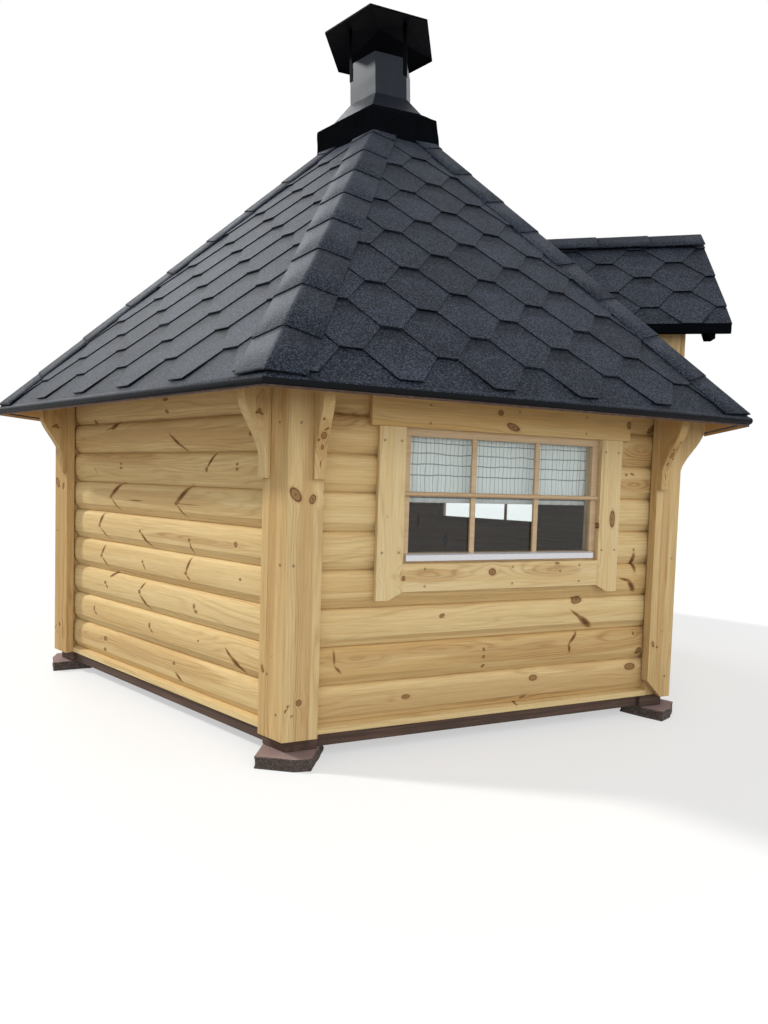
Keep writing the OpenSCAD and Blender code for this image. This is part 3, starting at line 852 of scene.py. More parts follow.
@dataclass(frozen=True)
class ClothFinish:
    """Thin pale cotton with a woven check."""

    name: str = "checked_cotton"
    ground: Colour = (0.90, 0.93, 0.91)
    line: Colour = (0.10, 0.12, 0.14)
    hem: Colour = (0.90, 0.90, 0.88)
    border: Colour = (0.05, 0.06, 0.065)

    def material(self) -> Material:
        """Builds the material.

        Returns:
            The material.
        """
        material, n, shader = new_material(self.name)
        across, up, _ = n.parts(n.attribute("UVMap"))
        drift = n.line(n.noise(n.attribute("UVMap"), 9.0, 2, 0.5), 0.016, -0.008)
        weave = n.streaky(n.attribute("UVMap"), (900, 300, 1), 1, 0.5)
        upright = self.stripe(n, n.plus(across, drift), 0.0178, 0.0034)
        level = self.stripe(n, n.plus(up, n.plus(drift, 0.0078)), 0.0385, 0.0050)
        level = n.times(level, n.smooth(up, 0.068, 0.070))
        level = n.times(level, n.rest(n.smooth(up, 0.222, 0.224)))
        lines = n.math("MAXIMUM", n.times(upright, 0.55), n.times(level, 0.8))
        base = n.mix(lines, self.ground, self.line)
        base = n.mix(n.times(weave, 0.12), base, n.mix(1.0, base, (0.7, 0.7, 0.7), "MULTIPLY"))
        band = n.times(n.smooth(up, 0.014, 0.018), n.rest(n.smooth(up, 0.032, 0.036)))
        base = n.mix(n.times(band, 0.85), base, self.border)
        hem = n.rest(n.smooth(up, 0.011, 0.014))
        base = n.mix(hem, base, self.hem)
        n.fill(
            shader,
            Base_Color=base, Roughness=0.9, Sheen_Weight=0.2, Normal=n.bump(weave, 0.0004),
        )
        return material

    @staticmethod
    def stripe(n: Nodes, value: Socket, pitch: float, width: float) -> Socket:
        """Lines of a width, one every pitch."""
        place = n.math("MODULO", n.plus(value, 10.0), pitch)
        away = n.math("ABSOLUTE", n.minus(place, pitch / 2))
        return n.rest(n.smooth(away, width * 0.25, width * 0.5))


@dataclass(frozen=True)
class StoneFinish:
    """Broken concrete slab, pinkish on top and dark on its rough sides."""

    name: str = "broken_slab"
    top: Colour = (0.36, 0.25, 0.225)
    side: Colour = (0.055, 0.040, 0.034)
    chipped: Colour = (0.16, 0.12, 0.10)
    damp: Colour = (0.17, 0.11, 0.10)

    def material(self) -> Material:
        """Builds the material.

        Returns:
            The material.
        """
        material, n, shader = new_material(self.name)
        place = n.place()
        _, _, upward = n.parts(n.add("ShaderNodeNewGeometry").outputs["Normal"])
        grit = n.noise(place, 160.0, 4, 0.7)
        cloud = n.noise(place, 22.0, 3, 0.6)
        facing = n.smooth(n.line(cloud, 0.3, upward), 0.72, 0.95)
        dark = n.mix(n.smooth(grit, 0.4, 0.7), self.side, self.chipped)
        pale = n.mix(n.times(grit, cloud), self.top, self.damp)
        n.fill(
            shader,
            Base_Color=n.mix(facing, dark, pale), Roughness=0.92, Normal=n.bump(grit, 0.004),
        )
        return material


# ---- Mesh helpers ----


def mesh_object(name: str, bm: BMesh) -> Object:
    """Turns a bmesh into an object at the origin.

    Args:
        name: The object's name.
        bm: The mesh, which is freed.

    Returns:
        The new object.
    """
    mesh = bpy.data.meshes.new(name)
    bm.to_mesh(mesh)
    bm.free()
    piece = bpy.data.objects.new(name, mesh)
    bpy.context.scene.collection.objects.link(piece)
    return piece


def editable(*meshes: Mesh) -> BMesh:
    """One bmesh of some meshes."""
    bm = bmesh.new()
    for mesh in meshes:
        bm.from_mesh(mesh)
    return bm


def node_mesh(*names: str) -> BMesh:
    """A merged copy of CAD nodes' meshes, with flat faces joined.

    Args:
        names: The nodes.

    Returns:
        The mesh.
    """
    bm = editable(*(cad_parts[name].data for name in names))
    bmesh.ops.remove_doubles(bm, verts=bm.verts[:], dist=MERGE)
    flat = math.radians(1.0)
    bmesh.ops.dissolve_limit(bm, angle_limit=flat, verts=bm.verts[:], edges=bm.edges[:])
    return bm


def take(whole: BMesh, part: BMesh) -> None:
    """Moves one bmesh into another.

    Args:
        whole: The bmesh that grows.
        part: The bmesh that is moved and freed.
    """
    mesh = bpy.data.meshes.new("part")
    part.to_mesh(mesh)
    part.free()
    whole.from_mesh(mesh)
    bpy.data.meshes.remove(mesh)


def band(bm: BMesh, first: Sequence[Vert], second: Sequence[Vert]) -> list[Face]:
    """Joins two closed loops of vertices with four-sided faces.

    Args:
        bm: The mesh.
        first: The first loop.
        second: The second loop.

    Returns:
        The new faces.
    """
    turned = list(zip(first, second))
    pairs = zip(turned, turned[1:] + turned[:1])
    return [bm.faces.new((a, c, d, b)) for (a, b), (c, d) in pairs]


def lathe(bm: BMesh, rows: Sequence[Sequence[Vert]]) -> list[Face]:
    """Closes a shell round rows of vertices, with a face at each end.

    Args:
        bm: The mesh.
        rows: Vertices of each section, in order.

    Returns:
        The new faces, with both end faces last.
    """
    faces = []
    for a, b in zip(rows, rows[1:]):
        for i, vert in enumerate(a):
            j = (i + 1) % len(a)
            faces.append(bm.faces.new((vert, b[i], b[j], a[j])))
    return faces + [bm.faces.new(rows[0]), bm.faces.new(list(reversed(rows[-1])))]


def mirrored(marks: tuple[Mark, ...]) -> tuple[Mark, ...]:
    """The same marks on a wall seen in a mirror."""
    return tuple(Mark(m.kind, -m.y, m.z, m.half_y, m.half_z, -m.turn) for m in marks)


def prism(bm: BMesh, base: Sequence[Vector], along: Vector) -> list[Vert]:
    """Adds a closed prism with an outline swept along a vector.

    Args:
        bm: The mesh that it is added to.
        base: The outline's corners.
        along: From the first end to the second.

    Returns:
        The new vertices.
    """
    first = [bm.verts.new(p) for p in base]
    second = [bm.verts.new(Vector(p) + along) for p in base]
    bm.faces.new(first)
    bm.faces.new(list(reversed(second)))
    for i, vert in enumerate(first):
        j = (i + 1) % len(first)
        bm.faces.new((first[j], vert, second[i], second[j]))
    return first + second


def fix_normals(bm: BMesh) -> None:
    """Points all faces outwards."""
    bmesh.ops.recalc_face_normals(bm, faces=bm.faces[:])


def plank(bm: BMesh, outline: Sequence[Point2], x0: float, x1: float) -> list[Vert]:
    """Adds a board to a wall, from an outline in y and z in millimetres.

    Args:
        bm: The mesh, in the wall's local frame.
        outline: Corners of the board's face.
        x0: Back of the board.
        x1: Front of the board.

    Returns:
        The new vertices.
    """
    base = [Vector((x0 * MM, y * MM, z * MM)) for y, z in outline]
    return prism(bm, base, Vector(((x1 - x0) * MM, 0, 0)))


def rect(y0: float, y1: float, z0: float, z1: float) -> list[Point2]:
    """Corners of a rectangle."""
    return [(y0, z0), (y1, z0), (y1, z1), (y0, z1)]


def bisect(bm: BMesh, point: Vector, normal: Vector, clear: bool) -> list[object]:
    """Cuts a mesh along a plane.

    Args:
        bm: The mesh.
        point: A point of the plane.
        normal: The plane's normal.
        clear: Whether the normal's side is removed.

    Returns:
        The vertices and edges in the plane.
    """
    geom = bm.verts[:] + bm.edges[:] + bm.faces[:]
    return bmesh.ops.bisect_plane(
        bm, geom=geom, dist=CUT, plane_co=point, plane_no=normal, clear_outer=clear
    )["geom_cut"]


def cut_off(bm: BMesh, point: Sequence[float], normal: Sequence[float]) -> None:
    """Removes what lies beyond a plane on its normal's side, and closes the cut.

    Args:
        bm: The mesh.
        point: A point of the plane.
        normal: The plane's normal.
    """
    result = bisect(bm, Vector(point), Vector(normal), True)
    edges = [g for g in result if isinstance(g, bmesh.types.BMEdge)]
    edges = [e for e in edges if e.is_valid and e.is_boundary]
    if edges:
        bmesh.ops.holes_fill(bm, edges=edges, sides=0)


def cut_in(bm: BMesh, frame_of: Matrix, point: Point3, away: Point3) -> None:
    """Cuts off what lies beyond a plane that is given in a frame."""
    cut_off(bm, frame_of @ Vector(point), frame_of.to_3x3() @ Vector(away))


def slice_at(bm: BMesh, axis: int, places: Iterable[float]) -> None:
    """Cuts extra edges across the mesh at places along an axis.

    Args:
        bm: The mesh.
        axis: 0, 1 or 2 for x, y or z.
        places: Where the edges go, in metres.
    """
    normal = Vector([1.0 if i == axis else 0.0 for i in range(3)])
    for place in places:
        bisect(bm, normal * place, normal, False)


def places_near(
    marks: Iterable[Mark], axis: int, low: float, high: float, step: float
) -> list[float]:
    """Places in millimetres where a mesh needs edges to show marks.

    Args:
        marks: The marks.
        axis: 0 along the wall, 1 up it.
        low: Least place.
        high: Greatest place.
        step: Spacing of the edges near a mark.

    Returns:
        Sorted places, a step or more apart.
    """
    wanted: list[float] = []
    for mark in marks:
        middle = (mark.y, mark.z)[axis]
        if mark.kind is MarkKind.HEART:
            half, count = 1.5 * mark.reach[axis], 9
        else:
            half = mark.reach[axis] * 1.7 + 4
            count = max(3, int(2 * half / step) + 1)
        wanted += list(np.linspace(middle - half, middle + half, count))
    kept: list[float] = []
    for place in sorted(wanted):
        if low + 2 < place < high - 2 and (not kept or place - kept[-1] >= step * 0.8):
            kept.append(place)
    return kept


def groove(bm: BMesh, x: float, y: float, width: float, depth: float) -> None:
    """Presses an upright V groove into a board's face.

    Args:
        bm: The board, in a wall's frame.
        x: Front of the board, in millimetres.
        y: Place of the groove, in millimetres.
        width: Width of the groove, in millimetres.
        depth: Depth of the groove, in millimetres.
    """
    slice_at(bm, 1, [(y - width / 2) * MM, y * MM, (y + width / 2) * MM])
    for v in bm.verts:
        if abs(v.co.x - x * MM) < MERGE and abs(v.co.y - y * MM) < MERGE:
            v.co.x -= depth * MM


def bevelled(piece: Object, width: float, segments: int = 2) -> None:
    """Rounds a piece's sharp edges.

    Args:
        piece: The piece.
        width: Width of the rounding, in metres.
        segments: Number of faces across it.
    """
    modifier = piece.modifiers.new("bevel", "BEVEL")
    modifier.width = width
    modifier.segments = segments
    modifier.limit_method = "ANGLE"
    modifier.angle_limit = math.radians(38)
    modifier.use_clamp_overlap = True


def round_edges(bm: BMesh, width: float, segments: int, degrees: float) -> None:
    """Rounds a bmesh's edges that are sharper than an angle.

    Args:
        bm: The mesh.
        width: Width of the rounding, in metres.
        segments: Number of faces across it.
        degrees: The angle.
    """
    least = math.radians(degrees)
    sharp = [e for e in bm.edges if e.is_manifold and e.calc_face_angle() > least]
    bmesh.ops.bevel(
        bm, geom=sharp, offset=width, offset_type="OFFSET", segments=segments,
        profile=0.5, affect="EDGES", clamp_overlap=True,
    )


def smooth_by_angle(piece: Object, degrees: float) -> None:
    """Shades a piece smooth, with edges above an angle kept sharp.

    Args:
        piece: The piece.
        degrees: The angle.
    """
    mesh = piece.data
    mesh.polygons.foreach_set("use_smooth", [True] * len(mesh.polygons))
    mesh.set_sharp_from_angle(angle=math.radians(degrees))


def islands(mesh: Mesh) -> np.ndarray:
    """Numbers the connected parts of a mesh.

    Args:
        mesh: The mesh.

    Returns:
        The part's number for each vertex.
    """
    label = np.arange(len(mesh.vertices))
    edges = np.empty(len(mesh.edges) * 2, dtype=np.int64)
    mesh.edges.foreach_get("vertices", edges)
    edges = edges.reshape(-1, 2)
    while True:
        low = np.minimum(label[edges[:, 0]], label[edges[:, 1]])
        new = label.copy()
        np.minimum.at(new, edges[:, 0], low)
        np.minimum.at(new, edges[:, 1], low)
        new = new[new]
        if np.array_equal(new, label):
            break
        label = new
    return np.unique(label, return_inverse=True)[1]


def dress_wood(
    piece: Object,
    plan: Plan,
    grain: Grain,
    marks: Optional[Marks] = None,
    seed: int = 0,
    tones: Optional[dict[Wall, tuple[float, ...]]] = None,
) -> None:
    """Writes the attributes that wood finishes read.

    Each connected part is one timber, with its own tone and its own place in
    the grain. It belongs to the wall that it is nearest to.

    Args:
        piece: The piece, in the cabin's frame.
        plan: The cabin's plan.
        grain: Which way its grain runs.
        marks: Marks by wall. On a bracket, a y above 0 counts out from the
            corner board, and one below 0 counts back across the front.
        seed: Seed for the tones.
        tones: Tones of a wall's timbers, counted upwards from the lowest.
    """
    mesh = piece.data
    rng = np.random.default_rng(seed)
    co = np.empty(len(mesh.vertices) * 3)
    mesh.vertices.foreach_get("co", co)
    co = co.reshape(-1, 3)
    part = islands(mesh)
    grain_out = np.zeros((len(co), 3))
    mark_out = np.zeros((len(co), 3))
    tone_out = np.zeros(len(co))
    flat = co[:, :2] - np.array([plan.centre_x, 0.0])
    for number in range(part.max() + 1):
        own = np.flatnonzero(part == number)
        middle = (flat[own].min(axis=0) + flat[own].max(axis=0)) / 2
        wall = max(Wall, key=lambda w: middle @ np.array([math.cos(w.turn), math.sin(w.turn)]))
        c, s = math.cos(wall.turn), math.sin(wall.turn)
        x = flat[own] @ np.array([c, s])
        y = flat[own] @ np.array([-s, c])
        z = co[own, 2].copy()
        shift = rng.uniform(-20, 20, 3)
        tone_out[own] = rng.uniform()
        if tones:
            course = math.ceil(((z.min() + z.max()) / 2 - plan.strip_top) / plan.log_h)
            tone_out[own] = tones[wall][min(course, len(tones[wall]) - 1)]
        field = np.zeros((len(own), 3))
        bend_y, bend_z = np.zeros(len(own)), np.zeros(len(own))
        for mark in (marks or {}).get(wall, ()):
            across = y
            if grain is Grain.BRACKET:
                across = x - plan.corner_ap if mark.y > 0 else plan.board_edge - np.abs(y)
            q = mark.measure(across / MM, z / MM)
            if q.min() > 2.5:
                continue
            value = np.clip(1 - q / 2, 0, 1)
            field[:, mark.kind.value] = np.maximum(field[:, mark.kind.value], value)
            if mark.kind is MarkKind.KNOT:
                dy, dz = y - mark.y * MM, z - mark.z * MM
                ry, rz = mark.half_y * MM * 2.2, mark.half_z * MM * 2.2
                near = np.exp(-((dy / ry) ** 2 + (dz / rz) ** 2))
                bend_y -= dy * near * 0.75
                bend_z -= dz * near * 0.75
        if grain is Grain.ALONG_WALL:
            made = np.stack([x, y, z + bend_z], axis=1)
        elif grain is Grain.UPRIGHT:
            made = np.stack([x, z, y + bend_y], axis=1)
        else:
            made = np.stack([y, z, x], axis=1)
        grain_out[own] = made + shift
        mark_out[own] = field
    for name, values in (("grain", grain_out), ("mark", mark_out)):
        layer = mesh.attributes.new(name, "FLOAT_VECTOR", "POINT")
        layer.data.foreach_set("vector", values.ravel())
    mesh.attributes.new("tone", "FLOAT", "POINT").data.foreach_set("value", tone_out)


def seat(piece: Object, material: Material, nodes: Sequence[str] = ()) -> None:
    """Gives a piece its finish and its place in the frame.

    Args:
        piece: The piece.
        material: Its finish.
        nodes: CAD nodes that it stands for.
    """
    if not piece.data.materials:
        piece.data.materials.append(material)
    else:
        piece.data.materials[0] = material
    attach(piece, BODY)
    if nodes:
        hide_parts(*nodes)


# ---- Geometry nodes ----


class Repeater:
    """A geometry node tree that places copies of a small mesh."""

    def __init__(self, name: str, **sizes: object) -> None:
        """Makes the tree with its named inputs.

        Args:
            name: The tree's name.
            sizes: Default value of each size.
        """
        self.tree = bpy.data.node_groups.new(name, "GeometryNodeTree")
        self.nodes = Nodes(self.tree)
        self.keys: dict[str, str] = {}
        face = self.tree.interface
        kinds = {int: "Int", float: "Float", tuple: "Vector"}
        inputs = {"Geometry": "Geometry", "Piece": "Object"}
        inputs |= {label: kinds[type(value)] for label, value in sizes.items()}
        inputs |= {"Seed": "Int", "Finish": "Material"}
        for label, kind in inputs.items():
            item = face.new_socket(label, in_out="INPUT", socket_type=f"NodeSocket{kind}")
            self.keys[label] = item.identifier
            if label in sizes:
                item.default_value = sizes[label]
        face.new_socket("Geometry", in_out="OUTPUT", socket_type="NodeSocketGeometry")
        self.source = self.nodes.add("NodeGroupInput")

    def given(self, label: str) -> Socket:
        """The socket of a named input."""
        return self.source.outputs[label]

    def drawn(self, low: Number, high: Number) -> Socket:
        """A number drawn at random for each copy.

        Args:
            low: The least number.
            high: The greatest number.

        Returns:
            The number.
        """
        node = self.nodes.add("FunctionNodeRandomValue", data_type="FLOAT")
        ends = [s for s in node.inputs if s.type == "VALUE" and s.enabled]
        for socket, value in zip(ends, (low, high)):
            self.nodes.put(socket, value)
        seed = [s for s in node.inputs if s.name == "Seed"][0]
        self.nodes.put(seed, self.given("Seed"))
        return [s for s in node.outputs if s.type == "VALUE" and s.enabled][0]

    def strayed(self) -> Socket:
        """A number drawn between both signs of the tree's stray."""
        stray = self.given("Stray")
        return self.drawn(self.nodes.times(stray, -1.0), stray)

    def vector(self, axis: int, value: Socket) -> Socket:
        """A vector with one number on an axis."""
        node = self.nodes.add("ShaderNodeCombineXYZ")
        self.nodes.put(node.inputs[axis], value)
        return node.outputs[0]

    def end(self, points: Socket, turns: Optional[Socket] = None) -> None:
        """Ends the tree: copies, a tone for each, then one mesh with its finish.

        Args:
            points: Where the copies go.
            turns: How each one is turned.
        """
        n = self.nodes
        shape = n.fill(n.add("GeometryNodeObjectInfo"), Object=self.given("Piece"))
        copies = n.add("GeometryNodeInstanceOnPoints")
        n.fill(copies, Points=points, Instance=shape.outputs["Geometry"])
        if turns is not None:
            n.fill(copies, Rotation=turns)
        store = n.add(
            "GeometryNodeStoreNamedAttribute", data_type="FLOAT", domain="INSTANCE"
        )
        n.fill(store, Geometry=copies.outputs[0], Name="tone", Value=self.drawn(0.0, 1.0))
        real = n.fill(n.add("GeometryNodeRealizeInstances"), Geometry=store.outputs[0])
        finish = n.add("GeometryNodeSetMaterial")
        n.fill(finish, Geometry=real.outputs[0], Material=self.given("Finish"))
        n.put(n.add("NodeGroupOutput").inputs[0], finish.outputs[0])

    def make(self, points: Optional[Mesh] = None, **values: object) -> Mesh:
        """Runs the tree and returns a plain mesh.

        Args:
            points: Mesh that the tree starts from.
            values: Values of the named inputs.

        Returns:
            The mesh.
        """
        host = bpy.data.objects.new("host", points or bpy.data.meshes.new("points"))
        bpy.context.scene.collection.objects.link(host)
        modifier = host.modifiers.new("repeat", "NODES")
        modifier.node_group = self.tree
        for label, value in values.items():
            modifier[self.keys[label]] = value
        graph = bpy.context.evaluated_depsgraph_get()
        graph.update()
        mesh = bpy.data.meshes.new_from_object(
            host.evaluated_get(graph), preserve_all_data_layers=True, depsgraph=graph
        )
        host.modifiers.remove(modifier)
        bpy.data.objects.remove(host)
        return mesh


def course_tree() -> Repeater:
    """Courses of shingles: every second one moved along by half a pitch.

    Returns:
        The tree.
    """
    tree = Repeater(
        "shingle_courses",
        Columns=8, Courses=12, Pitch=0.3333, Exposure=0.133, Phase=0.0, First=0.0, Stray=0.001,
    )
    n = tree.nodes
    count_x, count_y = tree.given("Columns"), tree.given("Courses")
    wide = n.times(n.minus(count_x, 1.0), tree.given("Pitch"))
    high = n.times(n.minus(count_y, 1.0), tree.given("Exposure"))
    grid = n.add("GeometryNodeMeshGrid")
    n.fill(grid, Size_X=wide, Size_Y=high, Vertices_X=count_x, Vertices_Y=count_y)
    _, y, _ = n.parts(n.add("GeometryNodeInputPosition").outputs[0])
    half = n.times(high, 0.5)
    row = n.math("DIVIDE", n.plus(y, half), tree.given("Exposure"))
    odd = n.math("FLOORED_MODULO", n.math("ROUND", row), 2.0)
    along = n.times(odd, n.times(tree.given("Pitch"), 0.5))
    along = n.plus(along, tree.given("Phase"))
    offset = n.add("ShaderNodeCombineXYZ")
    n.put(offset.inputs[0], along)
    n.put(offset.inputs[1], n.plus(n.plus(half, tree.given("First")), tree.strayed()))
    move = n.add("GeometryNodeSetPosition")
    n.fill(move, Geometry=grid.outputs["Mesh"], Offset=offset.outputs[0])
    tree.end(move.outputs[0])
    return tree


def line_tree() -> Repeater:
    """Copies of a piece in a row, a step apart.

    Returns:
        The tree.
    """
    tree = Repeater(
        "pieces_in_line", Count=8, Step=(0.1, 0.0, 0.0), Start=(0.0, 0.0, 0.0), Stray=0.0
    )
    n = tree.nodes
    line = n.add("GeometryNodeMeshLine", mode="OFFSET")
    n.fill(
        line,
        Count=tree.given("Count"), Start_Location=tree.given("Start"), Offset=tree.given("Step"),
    )
    tree.end(line.outputs[0], tree.vector(2, tree.strayed()))
    return tree


def scatter_tree() -> Repeater:
    """A copy of a piece at each point of a mesh, each turned at random about x."""
    tree = Repeater("pieces_at_points")
    tree.end(tree.given("Geometry"), tree.vector(0, tree.drawn(0.0, math.pi)))
    return tree


def drop(piece: Object) -> None:
    """Removes a helper object."""
    bpy.data.objects.remove(piece)


# ---- Finishes in use ----


@dataclass(frozen=True)
class Finishes:
    """The materials that the cabin's pieces share."""

    logs: Material
    boards: Material
    trim: Material
    frame_wood: Material
    soffit: Material
    stained: Material
    shingle: Material
    felt: Material
    flue: Material
    soot: Material
    silver: Material
    iron: Material
    screw: Material
    pane: Material
    cloth: Material
    stone: Material

    @classmethod
    def make(cls) -> "Finishes":
        """Builds every material."""
        return cls(
            logs=PineFinish("pine_logs").material(),
            boards=PineFinish(
                "pine_boards", pale=(0.66, 0.48, 0.235), warm=(0.53, 0.335, 0.135)
            ).material(),
            trim=PineFinish(
                "pine_trim", pale=(0.73, 0.57, 0.315), warm=(0.66, 0.43, 0.170)
            ).material(),
            frame_wood=PineFinish(
                "pine_frame",
                pale=(0.62, 0.46, 0.29),
                warm=(0.54, 0.37, 0.21),
                contrast=0.5,
            ).material(),
            # Darker, warmer copy of the pine for the undersides of the roof boards: painted shade
            # under the eaves.
            soffit=PineFinish(
                "pine_soffit", pale=(0.60, 0.38, 0.155), warm=(0.48, 0.27, 0.095)
            ).material(),
            stained=StainedTimber().material(),
            shingle=ShingleFinish().material(),
            felt=FeltFinish().material(),
            flue=FlueFinish().material(),
            # Near-black, matt copy of the enamel for the flue cap: painted shade for its
            # underside, which gets little light from below.
            soot=FlueFinish(
                "sooted_cap", (0.001, 0.001, 0.002), (0.004, 0.004, 0.006), 0.6, 0.03
            ).material(),
            silver=MetalFinish(
                "silver_sill", (0.62, 0.62, 0.65), (0.80, 0.80, 0.82), 0.35, 0.45
            ).material(),
            iron=MetalFinish(
                "black_iron", (0.012, 0.012, 0.013), (0.045, 0.045, 0.048), 0.4, 0.5
            ).material(),
            screw=MetalFinish(
                "screw_heads", (0.012, 0.009, 0.006), (0.045, 0.030, 0.018), 0.3, 0.6
            ).material(),
            pane=PaneFinish().material(),
            cloth=ClothFinish().material(),
            stone=StoneFinish().material(),
        )


# ---- Sub-assemblies ----


@dataclass
class Assembly:
    """A sub-assembly, with the plan and the finishes that all share."""

    plan: Plan
    finishes: Finishes


@dataclass
class LogWalls(Assembly):
    """The walls of round-faced logs, each log one piece of its own."""

    plain_step: float = 110.0
    mark_step: float = 4.5
    ring_step: float = 0.0065
    slot_depth: float = 0.006
    strip_out: float = 0.006
    strip_slope: float = 0.003
    sliver: float = 1e-4
    profile: tuple[Point2, ...] = (
        (0.015, 22), (0.235, 4.0), (0.30, 3.0), (0.38, 1.5), (0.47, 0.4), (0.56, 0), (0.65, 0.4),
        (0.74, 1.5), (0.82, 3.2), (0.88, 5.5), (0.93, 9.5), (0.965, 15), (0.985, 22),
    )

    def marks(self) -> Marks:
        """The marks on each wall; hidden walls repeat the plain one.

        Returns:
            The marks.
        """
        plain, window = PLAIN_LOG_MARKS, WINDOW_LOG_MARKS
        return {
            Wall.LEFT_FRONT: window,
            Wall.LEFT_REAR: plain,
            Wall.RIGHT_REAR: mirrored(plain),
            Wall.DOOR: mirrored(plain),
            Wall.REAR: mirrored(window),
            Wall.RIGHT_FRONT: window,
        }

    def ring(self, z0: float) -> list[Point2]:
        """Outline of a log in x and z, from its lower edge.

        Args:
            z0: Height of the lower edge.

        Returns:
            The outline's points.
        """
        p = self.plan
        face = [(p.wall_ap - inset * MM, z0 + share * p.log_h) for share, inset in self.profile]
        z1, slot = z0 + p.log_h, p.wall_ap - self.profile[0][1] * MM - self.slot_depth
        points = [(p.wall_in, z0), (slot, z0), (slot, face[0][1])]
        for (x_a, z_a), (x_b, z_b) in zip(face, face[1:]):
            count = math.ceil((z_b - z_a) / self.ring_step)
            shares = [i / count for i in range(count)]
            points += [(x_a + (x_b - x_a) * t, z_a + (z_b - z_a) * t) for t in shares]
        return points + [face[-1], (slot, face[-1][1]), (slot, z1), (p.wall_in, z1)]

    def lines(
        self, marks: tuple[Mark, ...], z0: float, z1: float, y0: float, y1: float
    ) -> list[float]:
        """Places along a log where its mesh has edges.

        Args:
            marks: The wall's marks.
            z0: Foot of the log.
            z1: Top of the log.
            y0: Its first end.
            y1: Its last end.

        Returns:
            Sorted places.
        """
        near = [
            m for m in marks
            if m.z + 2.2 * m.reach[1] > z0 / MM and m.z - 2.2 * m.reach[1] < z1 / MM
        ]
        fine = places_near(near, 0, y0 / MM, y1 / MM, self.mark_step)
        count = max(1, int((y1 - y0) / MM / self.plain_step))
        coarse = np.linspace(y0 / MM, y1 / MM, count + 1)
        kept = [c for c in coarse[1:-1] if all(abs(c - f) > self.mark_step for f in fine)]
        return [y * MM for y in sorted([y0 / MM, y1 / MM, *fine, *kept])]

    def timber(self, ring: Sequence[Point2], lines: Sequence[float]) -> BMesh:
        """One closed timber with an outline swept along lines.

        Args:
            ring: The outline, in x and z.
            lines: Places along y.

        Returns:
            The timber's mesh.
        """
        bm = bmesh.new()
        lathe(bm, [[bm.verts.new((x, y, z)) for x, z in ring] for y in lines])
        return bm

    def hole(self) -> tuple[float, float, float, float]:
        """The opening for a window.

        Returns:
            Two places along the wall, then its lower and upper height.
        """
        p = self.plan
        half = p.window_w / 2 + p.hole_lap
        low, high = p.window_z - p.hole_lap, p.window_z + p.window_h + p.hole_lap
        return p.window_shift - half, p.window_shift + half, low, high

    def strip(self) -> list[Point2]:
        """Outline of the strip under the lowest log, in x and z.

        Returns:
            The outline's points.
        """
        p = self.plan
        out = p.wall_ap + self.strip_out
        return [
            (p.wall_in, p.wall_z), (out, p.wall_z), (out, p.strip_top - self.strip_slope),
            (p.wall_ap - p.log_bulge, p.strip_top), (p.wall_in, p.strip_top),
        ]

    def wall(self, wall: Wall, spans: Sequence[Point2], name: str, nodes: Sequence[str]) -> None:
        """Builds the logs of a wall.

        Args:
            wall: Which wall.
            spans: Where the wall runs along its length.
            name: The piece's name.
            nodes: CAD nodes that it stands for.
        """
        p = self.plan
        marks = self.marks()[wall]
        whole = bmesh.new()
        left, right, low, high = self.hole()
        courses = math.ceil((p.under(p.wall_in) - p.strip_top) / p.log_h)
        for y0, y1 in spans:
            along = self.lines(marks, p.wall_z, p.strip_top, y0, y1)
            take(whole, self.timber(self.strip(), along))
            for z0 in (p.strip_top + k * p.log_h for k in range(courses)):
                z1 = z0 + p.log_h
                ring = self.ring(z0)
                if wall not in WINDOW_WALLS or z1 < low + CUT or z0 > high - CUT:
                    part = self.timber(ring, self.lines(marks, z0, z1, y0, y1))
                    if z1 > p.under(p.wall_ap):
                        p.trim_under(part)
                    take(whole, part)
                    continue
                for a, b in ((y0, left), (right, y1)):
                    take(whole, self.timber(ring, self.lines(marks, z0, z1, a, b)))
                for side, edge in ((1, low), (-1, high)):
                    if z0 < edge - self.sliver and z1 > edge + self.sliver:
                        part = self.timber(ring, [left, right])
                        cut_off(part, (0, 0, edge), (0, 0, side))
                        take(whole, part)
        fix_normals(whole)
        whole.transform(p.local(wall))
        piece = mesh_object(name, whole)
        smooth_by_angle(piece, 21)
        tones = {w: WINDOW_LOG_TONES if w in WINDOW_WALLS else PLAIN_LOG_TONES for w in Wall}
        dress_wood(piece, p, Grain.ALONG_WALL, self.marks(), 11 + wall.value, tones)
        seat(piece, self.finishes.logs, nodes)

    def build(self) -> None:
        """Builds all walls."""
        end = self.plan.log_end
        for wall in (wall for wall in Wall if wall is not Wall.DOOR):
            name = wall.name.lower()
            self.wall(wall, [(-end, end)], f"logs_{name}", [f"wall_{name}"])
        edge = self.plan.portal_y
        self.wall(Wall.DOOR, [(-end, -edge)], "logs_door_left", ["wall_door_left"])
        self.wall(Wall.DOOR, [(edge, end)], "logs_door_right", ["wall_door_right"])
        LOG.info("log walls: 7 pieces")


